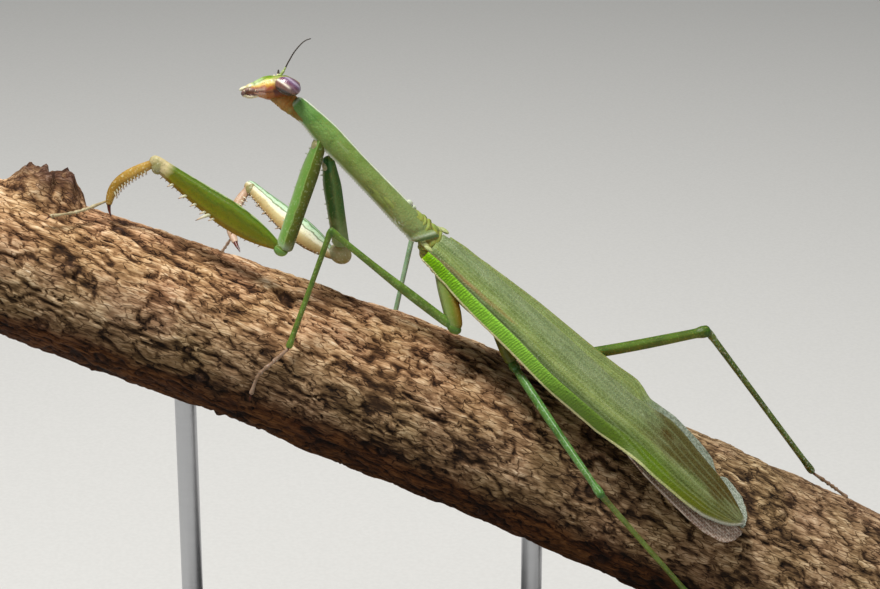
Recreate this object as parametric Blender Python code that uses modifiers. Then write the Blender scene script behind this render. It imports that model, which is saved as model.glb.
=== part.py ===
"""A slender green praying mantis as a still, life-size display model.

It stands on a cut length of branch that slopes down towards its tail, and two rods hold the branch
over a flat base. Sizes are in millimetres and are turned into metres when a mesh is made. +Z is up,
the underside of the base is Z = 0, the mantis looks towards -X and its left side is towards -Y.
"""

import math

import bpy
import bmesh
from mathutils import Vector

MM = 0.001
GAP = 0.3

# Colour, roughness and metalness of each finish.
FINISHES = {
    "body_green": ((0.30, 0.45, 0.12), 0.45, 0.0),
    "wing_green": ((0.26, 0.42, 0.14), 0.50, 0.0),
    "wing_clear": ((0.50, 0.46, 0.36), 0.40, 0.0),
    "eye_brown": ((0.28, 0.16, 0.14), 0.25, 0.0),
    "mouth_tan": ((0.62, 0.42, 0.26), 0.50, 0.0),
    "feeler_dark": ((0.14, 0.11, 0.08), 0.50, 0.0),
    "bark": ((0.36, 0.24, 0.15), 0.90, 0.0),
    "base_black": ((0.04, 0.04, 0.045), 0.55, 0.0),
    "rod_steel": ((0.55, 0.56, 0.58), 0.35, 1.0),
}

# Display stand.
BASE_LENGTH = 108.0
BASE_WIDTH = 76.0
BASE_HEIGHT = 6.0
BASE_CORNER = 10.0
BASE_EDGE = 1.2
ROD_RADIUS = 1.6
COLLAR_RADIUS = 3.6
COLLAR_HEIGHT = 2.0
ROD_AT = (-38.0, 14.0)
ROD_INTO_BRANCH = 4.0

# Branch: its middle line is a shallow arc over X, in the plane Y = 0.
BRANCH_FROM = -70.0
BRANCH_TO = 65.0
BRANCH_MID_Z = 56.8
BRANCH_SLOPE = 0.432
BRANCH_BEND = 0.00068
BRANCH_RADIUS = 12.2
BRANCH_THICKENS = 0.019
BRANCH_SIDES = 28
BRANCH_RINGS = 28
KNOB_AT = -56.5
KNOB_SIZE = (5.6, 4.8, 3.2)
KNOB_RISE = 0.9

# Body: the front and rear of the pronotum, and the line of the folded wings.
PRONOTUM_FRONT = Vector((-20.3, -3.5, 106.0))
PRONOTUM_REAR = Vector((-2.0, -4.6, 86.2))
WING_ROOT = Vector((0.3, -4.3, 84.7))
WING_TIP = Vector((43.6, -13.3, 45.0))
# How far the hind body and the neck shield lean to the left, in degrees.
LEAN = 28.0
SHIELD_LEAN = 58.0

# Head: the middle between the eyes, which way the mouth points and where the left eye looks.
HEAD_MIDDLE = Vector((-21.9, -2.7, 108.2))
MOUTH_WAY = Vector((-0.97, -0.20, -0.11))
LEFT_EYE_WAY = Vector((0.17, -0.92, 0.34))
EYE_LENGTH = 3.7
EYE_DEPTH = 2.4
EYE_WIDTH = 2.4
EYE_SPREAD = 2.45
EYE_BACK = 0.1
EYE_TILT = 33.0

# Stations along the head: distance towards the mouth, half width, half depth, lift to the face.
SKULL = (
    (-1.8, 1.1, 0.5, 0.3), (-1.2, 2.0, 1.1, 0.2), (0.0, 2.4, 1.5, 0.0), (1.5, 2.1, 1.7, 0.1),
    (3.0, 1.5, 1.65, 0.15), (4.2, 1.1, 1.3, 0.1), (4.8, 0.7, 0.8, 0.1),
)
MOUTH = (
    (5.0, 0.7, 0.75, -0.1), (5.4, 0.9, 1.0, -0.2),
    (6.0, 0.75, 0.9, -0.25), (6.4, 0.4, 0.5, -0.3),
)

# Joints of each leg, from the body outwards. Fore legs end at the tip of the claw, the others at
# the end of the foot.
LEGS = {
    "fore_left": ((-17.0, -4.4, 100.5), (-22.4, -6.3, 85.1), (-40.8, -1.0, 96.6), (-47.4, -2.4, 88.8)),
    "fore_right": ((-15.9, -2.0, 96.8), (-14.3, 1.6, 81.7), (-28.7, 15.5, 87.8), (-29.6, 4.6, 81.0)),
    "mid_left": (
        (0.2, -6.0, 82.1), (2.4, -8.3, 73.6), (-15.5, -8.6, 88.7), (-21.7, -11.7, 72.0),
        (-25.9, -12.4, 68.3), (-27.2, -12.1, 65.1),
    ),
    "mid_right": (
        (4.8, -1.6, 81.0), (7.6, -0.6, 75.0), (-4.1, 18.3, 79.4), (-8.1, 13.0, 62.6),
        (-11.6, 13.1, 59.8), (-14.0, 12.2, 57.2),
    ),
    "hind_left": (
        (8.0, -6.4, 74.6), (10.5, -8.4, 68.4), (22.4, -27.4, 56.3), (37.0, -13.2, 33.3),
        (40.4, -10.6, 27.4), (43.4, -7.4, 21.9),
    ),
    "hind_right": (
        (8.8, -2.4, 73.7), (15.8, -1.6, 66.2), (40.2, 5.6, 68.1), (57.6, 7.6, 43.9),
        (60.8, 9.4, 41.0), (63.6, 10.6, 38.4),
    ),
}
FORE_FEET = {
    "fore_left": ((-48.8, -1.6, 91.1), (-51.8, -4.6, 90.3), (-55.6, -6.4, 90.2)),
    "fore_right": ((-31.2, 8.6, 81.8), (-32.6, 11.2, 79.2), (-34.4, 12.8, 76.6)),
}
# How far each grasping femur's middle line lies below its hip.
FEMUR_DROP = {"fore_left": 0.0, "fore_right": 1.1}
# How high each grasping tibia bows out from the line to its claw, and a power that fills the bow.
TIBIA_ARCH = {"fore_left": (3.0, 0.6), "fore_right": (2.1, 1.0)}
# Thickness at the thick and the thin end of each walking leg's femur, and of its tibia.
WALKING_LEGS = {
    "mid_left": (1.35, 0.95, 0.85),
    "mid_right": (1.35, 0.95, 0.85),
    "hind_left": (1.2, 1.0, 0.85),
    "hind_right": (1.6, 1.5, 1.0),
}

# Stations along the trunk: distance from its front, half width, half height, lift.
PRONOTUM = (
    (0.0, 0.8, 0.85, 0.0), (0.5, 1.1, 1.15, 0.0), (3.0, 1.45, 1.4, 0.0), (6.5, 1.85, 1.65, 0.0),
    (8.5, 1.85, 1.65, 0.0), (12.0, 1.72, 1.55, 0.0), (18.0, 1.75, 1.5, 0.0), (24.0, 1.85, 1.55, 0.0),
    (26.2, 1.85, 1.55, 0.0), (26.6, 1.6, 1.35, 0.0),
)
PTEROTHORAX = (
    (-2.6, 1.5, 1.2, 0.4), (-2.0, 2.0, 1.6, 0.0), (-1.5, 2.3, 1.6, -1.0), (-1.1, 2.4, 1.6, -1.95),
    (4.0, 2.6, 2.0, -2.4), (9.0, 2.7, 2.1, -2.6), (14.0, 2.6, 1.9, -2.5), (16.5, 2.2, 1.6, -2.4),
)
ABDOMEN = (
    (16.8, 2.0, 1.4, -2.4), (20.0, 2.6, 1.6, -2.3), (28.0, 3.1, 1.8, -2.2), (36.0, 2.7, 1.5, -1.9),
    (42.0, 1.9, 1.1, -1.6), (46.0, 0.9, 0.6, -1.5),
)
# Stations along the folded wings: distance from the root, and how far the wing reaches from the
# body's middle line with its inner and with its outer edge. The left fore wing lies on top.
FORE_WING_LEFT = (
    (-1.2, -1.3, 2.9), (3.0, -1.6, 3.35), (8.0, -1.8, 3.9), (16.0, -1.8, 4.45), (25.0, -1.8, 5.1),
    (33.0, -1.8, 4.8), (38.0, -3.0, 4.7), (42.6, -4.1, 4.8), (48.0, -3.35, 4.45), (53.2, -2.7, 3.8),
    (55.4, -2.1, 3.1), (57.4, -1.3, 2.2), (59.4, -0.2, 0.6),
)
FORE_WING_RIGHT = (
    (0.0, 0.1, 2.5), (3.0, 0.15, 2.8), (8.0, 0.2, 3.3), (16.0, 0.2, 4.1), (25.0, 0.2, 4.6),
    (31.0, 0.2, 5.4), (34.3, 0.2, 6.1), (38.0, 0.2, 5.0), (43.0, 0.2, 5.3), (47.0, 0.2, 5.2),
    (50.2, 0.2, 4.6), (52.0, 0.2, 2.9), (56.0, 0.2, 2.2), (59.0, 0.1, 0.8),
)
HIND_WING_LEFT = (
    (14.0, 0.3, 2.0), (26.0, 0.3, 3.9), (36.0, 0.3, 4.5), (39.0, 0.3, 4.9), (43.2, 0.3, 6.1),
    (47.6, 0.3, 6.4), (51.7, 0.3, 6.3), (55.3, 0.3, 5.6), (58.6, 0.3, 4.3), (60.0, 0.3, 2.6),
)
HIND_WING_RIGHT = (
    (14.0, 0.3, 2.0), (26.0, 0.3, 3.9), (36.0, 0.3, 4.3), (44.0, 0.3, 4.6), (50.0, 0.3, 4.5),
    (52.5, 0.3, 4.3), (54.3, 0.3, 5.7), (56.8, 0.3, 5.6), (58.8, 0.3, 5.0), (59.8, 0.3, 4.2),
)
WING_THICKNESS = 0.5
WING_CAMBER = 0.022
WING_ARCH = 1.6

for old in list(bpy.data.objects):
    bpy.data.objects.remove(old, do_unlink=True)
model = bpy.data.collections.new("praying_mantis_on_branch")
bpy.context.scene.collection.children.link(model)
cutters = bpy.data.collections.new("cutters")
bpy.context.scene.collection.children.link(cutters)

RIGHT = Vector((1.0, 0.0, 0.0))
BACK = Vector((0.0, 1.0, 0.0))
UP = Vector((0.0, 0.0, 1.0))


def finish(slot):
    """The plain material of one finish, made once."""
    found = bpy.data.materials.get(slot)
    if found:
        return found
    colour, roughness, metal = FINISHES[slot]
    made = bpy.data.materials.new(slot)
    made.use_nodes = True
    shader = made.node_tree.nodes["Principled BSDF"]
    shader.inputs["Base Color"].default_value = (*colour, 1.0)
    shader.inputs["Roughness"].default_value = roughness
    shader.inputs["Metallic"].default_value = metal
    return made


def object_from(name, mesh, smooth):
    """An object from a mesh in millimetres, with its faces outwards."""
    for vertex in mesh.verts:
        vertex.co *= MM
    bmesh.ops.recalc_face_normals(mesh, faces=mesh.faces)
    data = bpy.data.meshes.new(name)
    mesh.to_mesh(data)
    mesh.free()
    for face in data.polygons:
        face.use_smooth = smooth
    return bpy.data.objects.new(name, data)


def solid(name, mesh, slot, smooth=True):
    """A named sub-part of the model."""
    made = object_from(name, mesh, smooth)
    made.data.materials.append(finish(slot))
    model.objects.link(made)
    return made


def shape_with(piece, operation, name, mesh):
    """Joins a shape to the piece, or cuts the shape out of it."""
    tool = object_from(name, mesh, False)
    tool.hide_render = True
    tool.display_type = "WIRE"
    cutters.objects.link(tool)
    step = piece.modifiers.new(name, "BOOLEAN")
    step.operation = operation
    step.solver = "EXACT"
    step.object = tool


def loft(mesh, rings):
    """Skins a row of rings, all with the same number of corners, and closes both ends."""
    rows = [[mesh.verts.new(corner) for corner in ring] for ring in rings]
    count = len(rows[0])
    for near, far in zip(rows, rows[1:]):
        for i in range(count):
            j = (i + 1) % count
            mesh.faces.new((near[i], near[j], far[j], far[i]))
    mesh.faces.new(rows[0][::-1])
    mesh.faces.new(rows[-1])
    return mesh


def oval(middle, side, up, half_width, half_height, sides):
    """A ring of corners on an ellipse."""
    turns = [math.tau * i / sides for i in range(sides)]
    return [middle + side * (half_width * math.cos(t)) + up * (half_height * math.sin(t)) for t in turns]


def ball(middle, axes, halves, across=16, down=10):
    """An ellipsoid along three directions."""
    mesh = bmesh.new()
    bmesh.ops.create_uvsphere(mesh, u_segments=across, v_segments=down, radius=1.0)
    for vertex in mesh.verts:
        place = middle.copy()
        for axis, half, share in zip(axes, halves, vertex.co[:]):
            place += axis * (half * share)
        vertex.co = place
    return mesh


def limb(path, sizes, flat_side, sides=8, grow=0.0):
    """A tapering limb along a path. sizes holds its (thickness, depth) at each point, flat_side is
    the direction that its flat face looks in, and grow thickens all of it."""
    rings = []
    for i, (thick, deep) in enumerate(sizes):
        along = (path[min(i + 1, len(path) - 1)] - path[max(i - 1, 0)]).normalized()
        side = (flat_side - along * flat_side.dot(along)).normalized()
        up = along.cross(side)
        rings.append(oval(path[i], side, up, thick / 2.0 + grow, deep / 2.0 + grow, sides))
    return loft(bmesh.new(), rings)


def between(start, end, share):
    return start + (end - start) * share


def body_frame(front, rear, degrees=LEAN):
    """Tailward, left and up directions of the body along this line, leaning to its left."""
    tail = (rear - front).normalized()
    level = tail.cross(UP).normalized()
    upright = level.cross(tail)
    lean = math.radians(degrees)
    up = upright * math.cos(lean) + level * math.sin(lean)
    left = level * math.cos(lean) - upright * math.sin(lean)
    return tail, left, up


def trunk(front, rear, stations, grow=0.0, degrees=LEAN):
    """A body section along a line, from its stations."""
    tail, left, up = body_frame(front, rear, degrees)
    rings = [
        oval(front + tail * at + up * lift, left, up, wide + grow, high + grow, 14)
        for at, wide, high, lift in stations
    ]
    return loft(bmesh.new(), rings)


def shield(grow=0.0):
    """The pronotum, which leans further than the hind body."""
    return trunk(PRONOTUM_FRONT, PRONOTUM_REAR, PRONOTUM, grow, SHIELD_LEAN)


def branch_middle(x):
    return Vector((x, 0.0, BRANCH_MID_Z - BRANCH_SLOPE * x - BRANCH_BEND * x * x))


def branch_radius(x):
    return BRANCH_RADIUS + BRANCH_THICKENS * x


def rod_top(x):
    return branch_middle(x).z - branch_radius(x) + ROD_INTO_BRANCH


def build_stand():
    base = bmesh.new()
    bmesh.ops.create_cube(base, size=1.0)
    for vertex in base.verts:
        vertex.co.x *= BASE_LENGTH
        vertex.co.y *= BASE_WIDTH
        vertex.co.z = (vertex.co.z + 0.5) * BASE_HEIGHT
    upright = [edge for edge in base.edges if abs(edge.verts[0].co.z - edge.verts[1].co.z) > 1.0]
    bmesh.ops.bevel(base, geom=upright, offset=BASE_CORNER, segments=6, profile=0.5, affect="EDGES")
    plate = solid("stand_base", base, "base_black", smooth=False)
    rim = plate.modifiers.new("rim", "BEVEL")
    rim.width = BASE_EDGE * MM
    rim.segments = 2
    rim.limit_method = "ANGLE"
    rim.angle_limit = math.radians(60.0)
    foot = BASE_HEIGHT + 0.05
    for number, x in enumerate(ROD_AT, start=1):
        profile = (
            (COLLAR_RADIUS, foot),
            (COLLAR_RADIUS, foot + COLLAR_HEIGHT * 0.6),
            (ROD_RADIUS, foot + COLLAR_HEIGHT),
            (ROD_RADIUS, rod_top(x)),
        )
        rings = [oval(Vector((x, 0.0, z)), RIGHT, BACK, r, r, 20) for r, z in profile]
        solid(f"stand_rod_{number}", loft(bmesh.new(), rings), "rod_steel")


def build_branch():
    rings = []
    for i in range(BRANCH_RINGS):
        x = BRANCH_FROM + (BRANCH_TO - BRANCH_FROM) * i / (BRANCH_RINGS - 1)
        along = (branch_middle(x + 1.0) - branch_middle(x - 1.0)).normalized()
        radius = branch_radius(x)
        rings.append(oval(branch_middle(x), BACK, along.cross(BACK), radius, radius, BRANCH_SIDES))
    branch = solid("perch_branch", loft(bmesh.new(), rings), "bark")
    middle = branch_middle(KNOB_AT) + UP * (branch_radius(KNOB_AT) + KNOB_RISE)
    knob = ball(middle, (Vector((1.0, 0.0, -0.4)).normalized(), BACK, UP), KNOB_SIZE, 14, 8)
    shape_with(branch, "UNION", "branch_knob", knob)
    reach = ROD_RADIUS + GAP / 2.0
    for number, x in enumerate(ROD_AT, start=1):
        heights = (rod_top(x) - ROD_INTO_BRANCH - 5.0, rod_top(x) + 0.1)
        rings = [oval(Vector((x, 0.0, z)), RIGHT, BACK, reach, reach, 20) for z in heights]
        shape_with(branch, "DIFFERENCE", f"rod_socket_{number}", loft(bmesh.new(), rings))


def head_frame():
    """Mouthward, left and faceward directions of the head."""
    forward = MOUTH_WAY.normalized()
    left = (LEFT_EYE_WAY - forward * LEFT_EYE_WAY.dot(forward)).normalized()
    return forward, left, forward.cross(left)


def tapered(stations, sides, grow=0.0):
    """A shape along the head, from stations: distance towards the mouth, half width, half depth and
    lift to the face."""
    forward, left, face = head_frame()
    rings = [
        oval(HEAD_MIDDLE + forward * at + face * lift, left, face, wide + grow, deep + grow, sides)
        for at, wide, deep, lift in stations
    ]
    return loft(bmesh.new(), rings)


def build_head():
    """Triangular head: wide and flat between the eyes, narrowing to the mouth."""
    forward, left, face = head_frame()
    head = solid("head", tapered(SKULL, 16), "body_green")
    solid("mouthparts", tapered(MOUTH, 12), "mouth_tan")
    halves = (EYE_LENGTH / 2.0, EYE_WIDTH / 2.0, EYE_DEPTH / 2.0)
    tilt = math.radians(EYE_TILT)
    long_way = forward * math.cos(tilt) + face * math.sin(tilt)
    axes = (long_way, left, long_way.cross(left))
    for sign, side in ((1.0, "left"), (-1.0, "right")):
        middle = HEAD_MIDDLE + left * (EYE_SPREAD * sign) - forward * EYE_BACK
        solid(f"eye_{side}", ball(middle, axes, halves), "eye_brown")
        room = ball(middle, axes, [half + 0.12 for half in halves])
        shape_with(head, "DIFFERENCE", f"eye_socket_{side}", room)
    root = HEAD_MIDDLE + left * 0.6 + face * 1.75 + forward * 0.4
    raised = (
        (0.0, 0.0, 0.0), (0.5, 0.0, 0.7), (1.2, 0.0, 2.0),
        (2.2, 0.0, 3.6), (3.6, 0.0, 5.0), (4.4, 0.0, 5.3),
    )
    path = [root + Vector(step) for step in raised]
    solid("antenna_left", limb(path, [(0.6, 0.6)] + [(0.5, 0.5)] * 5, RIGHT, sides=6), "feeler_dark")
    root = HEAD_MIDDLE - left * 0.6 + face * 1.75 + forward * 0.6
    swept = (
        (0.0, 0.0, 0.0), (-0.1, 1.5, 0.35), (-0.2, 3.5, -0.1),
        (-0.3, 5.5, -0.8), (-0.4, 7.5, -1.6),
    )
    path = [root + Vector(step) for step in swept]
    solid("antenna_right", limb(path, [(0.6, 0.6)] + [(0.5, 0.5)] * 4, RIGHT, sides=6), "feeler_dark")


def build_trunk():
    tail, left, up = body_frame(PRONOTUM_FRONT, PRONOTUM_REAR)
    solid("prothorax", shield(), "body_green")
    forward, _, face = head_frame()
    start = PRONOTUM_FRONT - tail * 0.4 - up * 0.7
    end = HEAD_MIDDLE + forward * 1.2 - face * 1.4
    path = [start, between(start, end, 0.5), end]
    neck = solid("neck", limb(path, [(2.0, 2.3), (2.2, 2.5), (2.0, 2.0)], left, sides=12), "mouth_tan")
    shape_with(neck, "DIFFERENCE", "head_room", tapered(SKULL, 16, GAP))
    thorax = solid("pterothorax", trunk(WING_ROOT, WING_TIP, PTEROTHORAX), "body_green")
    shape_with(thorax, "DIFFERENCE", "pronotum_room", shield(GAP))
    solid("abdomen", trunk(WING_ROOT, WING_TIP, ABDOMEN), "body_green")
    tail, left, up = body_frame(WING_ROOT, WING_TIP)
    for sign, side in ((1.0, "left"), (-1.0, "right")):
        start = WING_ROOT + tail * 44.8 + left * (1.8 * sign) - up * 1.5
        path = [start, start + tail * 1.6 + left * (0.5 * sign), start + tail * 3.2 + left * (0.9 * sign)]
        solid(f"cercus_{side}", limb(path, [(0.6, 0.6), (0.7, 0.7), (0.5, 0.5)], up, 6), "body_green")


def wing_plate(name, slot, sign, stations, profile):
    """One folded wing: a thin plate, whose cross-section follows profile at every station."""
    tail, left, up = body_frame(WING_ROOT, WING_TIP)
    mesh = bmesh.new()
    rows = []
    for at, inner, outer in stations:
        arch = WING_ARCH * math.sin(math.pi * min(1.0, at / 64.0))
        places = [(across * sign, rise + arch) for across, rise in profile(at, inner, outer)]
        rows.append([mesh.verts.new(WING_ROOT + tail * at + left * s + up * t) for s, t in places])
    for near, far in zip(rows, rows[1:]):
        for i in range(len(near) - 1):
            mesh.faces.new((near[i], near[i + 1], far[i + 1], far[i]))
    plate = solid(name, mesh, slot)
    shell = plate.modifiers.new("thickness", "SOLIDIFY")
    shell.thickness = WING_THICKNESS * MM
    shell.offset = 0.0


def fore_wing_profile(lift):
    """Across a fore wing: from its inner edge over the back, then the turned-down outer edge, which
    flattens out towards the tip."""

    def profile(at, inner, outer):
        small = min(1.0, outer / 4.0)
        turned = max(0.1, min(1.0, (43.0 - at) / 9.0))
        flat = [between(inner, outer, i / 5.0) for i in range(6)]
        points = [(s, lift - WING_CAMBER * s * s) for s in flat]
        edge_across, edge_rise = points[-1]
        points.append((edge_across + 0.5 * small, edge_rise - 1.0 * turned * small))
        points.append((edge_across + (1.0 - 0.25 * turned) * small, edge_rise - 2.0 * turned * small))
        return points

    return profile


def hind_wing_profile(lift):
    """Across a hind wing: from beside the middle line to its outer edge."""

    def profile(at, inner, outer):
        places = [between(inner, outer, i / 4.0) for i in range(5)]
        return [(s, lift - WING_CAMBER * s * s) for s in places]

    return profile


def build_wings():
    wing_plate("tegmen_left", "wing_green", 1.0, FORE_WING_LEFT, fore_wing_profile(0.95))
    wing_plate("tegmen_right", "wing_green", -1.0, FORE_WING_RIGHT, fore_wing_profile(0.25))
    wing_plate("hindwing_left", "wing_clear", 1.0, HIND_WING_LEFT, hind_wing_profile(-0.55))
    wing_plate("hindwing_right", "wing_clear", -1.0, HIND_WING_RIGHT, hind_wing_profile(-0.55))


def spines(roots, way, lengths, radius):
    """A row of short spines, each sunk a little into the limb that bears it."""
    mesh = bmesh.new()
    way = way.normalized()
    side = way.orthogonal().normalized()
    over = way.cross(side)
    for root, length in zip(roots, lengths):
        foot = oval(root - way * 0.5, side, over, radius, radius, 5)
        tip = oval(root + way * length, side, over, 0.12, 0.12, 5)
        loft(mesh, [foot, tip])
    return mesh


def build_fore_leg(leg):
    """Grasping leg: long coxa, deep spined femur, curved toothed tibia with a claw, thin foot."""
    base, hip, knee, claw = (Vector(joint) for joint in LEGS[leg])
    coxa, femur, tibia = hip - base, knee - hip, claw - knee
    plane = femur.cross(tibia).normalized()
    under = femur.cross(plane).normalized()
    if under.dot(tibia) < 0.0:
        under = -under
    bow = femur - tibia * (femur.dot(tibia) / tibia.length_squared)
    bow.normalize()

    thigh_path = [between(hip, knee, share) for share in (0.045, 0.12, 0.30, 0.42, 0.60, 0.80, 0.95, 1.0)]
    for i, joint in enumerate(thigh_path):
        joint += under * (0.3 * math.sin(math.pi * i / 7.0) + FEMUR_DROP[leg] * (1.0 - i / 7.0))
    thigh_sizes = [
        (1.0, 1.3), (1.7, 2.7), (2.0, 3.75), (2.0, 3.8),
        (1.8, 3.4), (1.6, 2.6), (1.3, 2.0), (0.9, 1.4),
    ]

    path = [between(base, hip, share) for share in (-0.02, 0.08, 0.30, 0.60, 0.88, 0.97, 1.03)]
    sizes = [(1.3, 1.6), (1.75, 2.1), (1.95, 2.4), (1.95, 2.4), (1.85, 2.35), (1.8, 2.3), (1.1, 1.4)]
    outward = (plane - coxa * (plane.dot(coxa) / coxa.length_squared)).normalized()
    front = coxa.cross(outward).normalized()
    if front.x > 0.0:
        front = -front
    piece = solid(f"{leg}_coxa", limb(path, sizes, outward), "body_green")
    roots = [between(base, hip, 0.14 + 0.1 * i) + front * 1.0 for i in range(7)]
    shape_with(piece, "UNION", f"{leg}_coxa_teeth", spines(roots, front, [0.6] * 7, 0.26))
    shape_with(piece, "DIFFERENCE", f"{leg}_hip_room", limb(thigh_path, thigh_sizes, plane, 12, GAP))
    shape_with(piece, "DIFFERENCE", f"{leg}_body_room", shield(GAP))

    piece = solid(f"{leg}_femur", limb(thigh_path, thigh_sizes, plane, 12), "body_green")
    lengths = (0.9, 1.6, 1.0, 2.2, 1.0, 1.4, 0.9)
    shares = [0.40 + 0.075 * i for i in range(len(lengths))]
    drop = FEMUR_DROP[leg]
    roots = [between(hip, knee, share) + under * (1.94 + drop - (1.1 + drop) * share) for share in shares]
    way = under + femur.normalized() * 0.3
    shape_with(piece, "UNION", f"{leg}_femur_spines", spines(roots, way, lengths, 0.34))

    height, fullness = TIBIA_ARCH[leg]

    def arched(share):
        return between(knee, claw, share) + bow * (height * math.sin(math.pi * min(share, 0.999)) ** fullness)

    path = [arched(share) for share in (0.02, 0.12, 0.30, 0.50, 0.68, 0.80, 0.90, 1.0)]
    sizes = [
        (0.9, 1.0), (1.1, 1.3), (1.2, 1.5), (1.15, 1.5),
        (1.0, 1.3), (0.8, 0.9), (0.6, 0.6), (0.5, 0.5),
    ]
    piece = solid(f"{leg}_tibia", limb(path, sizes, plane), "body_green")
    roots = [arched(0.25 + 0.08 * i) - bow * 0.6 for i in range(6)]
    way = tibia.normalized() * 0.3 - bow
    shape_with(piece, "UNION", f"{leg}_tibia_teeth", spines(roots, way, [0.8] * 6, 0.28))
    shape_with(piece, "DIFFERENCE", f"{leg}_knee_room", limb(thigh_path, thigh_sizes, plane, 12, GAP))

    path = [Vector(joint) for joint in FORE_FEET[leg]]
    solid(f"{leg}_tarsus", limb(path, [(0.6, 0.6), (0.6, 0.6), (0.5, 0.5)], plane, 6), "body_green")


def build_walking_leg(leg):
    """Thin leg: a stout coxa, a tapering femur, a straight tibia and a foot laid on the bark."""
    base, hip, knee, heel, toe, tip = (Vector(joint) for joint in LEGS[leg])
    thick, thin, shin = WALKING_LEGS[leg]
    side = (knee - hip).cross(heel - knee).normalized()
    thigh_path = [between(hip, knee, share) for share in (0.04, 0.08, 0.3, 0.7, 0.94, 0.98)]
    thigh_sizes = [(d, d) for d in (thick * 0.7, thick, thick, thin, thin, thin * 0.7)]
    path = [between(base, hip, share) for share in (-0.02, 0.15, 0.6, 0.88, 0.98, 1.05)]
    sizes = [(1.3, 1.5), (1.9, 2.2), (2.3, 2.6), (2.2, 2.5), (1.8, 2.0), (1.1, 1.2)]
    piece = solid(f"{leg}_coxa", limb(path, sizes, side), "body_green")
    shape_with(piece, "DIFFERENCE", f"{leg}_hip_room", limb(thigh_path, thigh_sizes, side, 8, GAP))
    shape_with(piece, "DIFFERENCE", f"{leg}_body_room", trunk(WING_ROOT, WING_TIP, PTEROTHORAX, GAP))
    solid(f"{leg}_femur", limb(thigh_path, thigh_sizes, side), "body_green")
    path = [between(knee, heel, share) for share in (0.0, 0.05, 0.5, 0.96, 0.99)]
    sizes = [(d, d) for d in (shin * 0.8, shin, shin * 0.9, shin * 0.95, shin * 0.7)]
    piece = solid(f"{leg}_tibia", limb(path, sizes, side, 7), "body_green")
    shape_with(piece, "DIFFERENCE", f"{leg}_knee_room", limb(thigh_path, thigh_sizes, side, 8, GAP))
    path = [between(heel, toe, 0.12), between(heel, toe, 0.5), toe, tip]
    sizes = [(0.6, 0.6), (0.65, 0.65), (0.6, 0.6), (0.5, 0.5)]
    solid(f"{leg}_tarsus", limb(path, sizes, side, 6), "body_green")


build_stand()
build_branch()
build_head()
build_trunk()
build_wings()
for grasping in FORE_FEET:
    build_fore_leg(grasping)
for walking in WALKING_LEGS:
    build_walking_leg(walking)
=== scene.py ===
"""Looks of the praying mantis display model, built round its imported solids.

Sizes and places are in millimetres and become metres when a mesh is made. +Z is up, the mantis looks
towards -X, its left side is towards -Y, and the underside of the stand is Z = 0.
"""

import math

import bpy
import numpy as np
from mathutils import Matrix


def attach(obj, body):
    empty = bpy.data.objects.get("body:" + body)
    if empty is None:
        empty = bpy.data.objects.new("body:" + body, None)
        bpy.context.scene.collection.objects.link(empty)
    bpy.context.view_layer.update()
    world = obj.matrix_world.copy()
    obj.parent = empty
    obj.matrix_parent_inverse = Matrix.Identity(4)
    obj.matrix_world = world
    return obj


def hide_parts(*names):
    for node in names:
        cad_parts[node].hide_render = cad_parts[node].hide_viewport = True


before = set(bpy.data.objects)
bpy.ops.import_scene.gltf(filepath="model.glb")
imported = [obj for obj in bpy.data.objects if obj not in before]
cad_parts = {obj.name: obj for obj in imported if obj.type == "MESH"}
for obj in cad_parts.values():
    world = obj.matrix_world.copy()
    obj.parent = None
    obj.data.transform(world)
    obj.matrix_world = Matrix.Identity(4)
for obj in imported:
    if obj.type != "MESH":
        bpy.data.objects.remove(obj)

MM = 0.001
TAU = math.tau
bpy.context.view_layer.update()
random = np.random.default_rng(11)

# ---------------------------------------------------------------- places that the solids are built on

BRANCH_FROM, BRANCH_TO = -70.0, 65.0
BRANCH_MID_Z, BRANCH_SLOPE, BRANCH_BEND = 56.8, 0.432, 0.00068
BRANCH_RADIUS, BRANCH_THICKENS = 12.2, 0.019
# Middle of the broken knob along the branch and as a turn round it, and half its length and width.
KNOB_AT, KNOB_TURN, KNOB_HALVES = -60.9, 0.235, (4.9, 4.2)
ROD_PLACES, ROD_SINKS = (-38.0, 14.0), 4.0

PRONOTUM_FRONT, PRONOTUM_REAR = np.array((-20.3, -3.5, 106.0)), np.array((-2.0, -4.6, 86.2))
WING_ROOT, WING_TIP = np.array((0.3, -4.3, 84.7)), np.array((43.6, -13.3, 45.0))
LEAN, SHIELD_LEAN = math.radians(28.0), math.radians(58.0)

HEAD_MIDDLE = np.array((-21.9, -2.7, 108.2))
MOUTH_WAY, LEFT_EYE_WAY = np.array((-0.97, -0.20, -0.11)), np.array((0.17, -0.92, 0.34))
# Half sizes of an eye along its long axis, outwards and across, and where it sits from the middle of
# the head: out to the side, back and down.
EYE_HALVES, EYE_TILT = (1.88, 1.29, 1.29), math.radians(33.0)
EYE_SPREAD, EYE_BACK, EYE_DROP = 2.45, 0.1, 0.22

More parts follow.
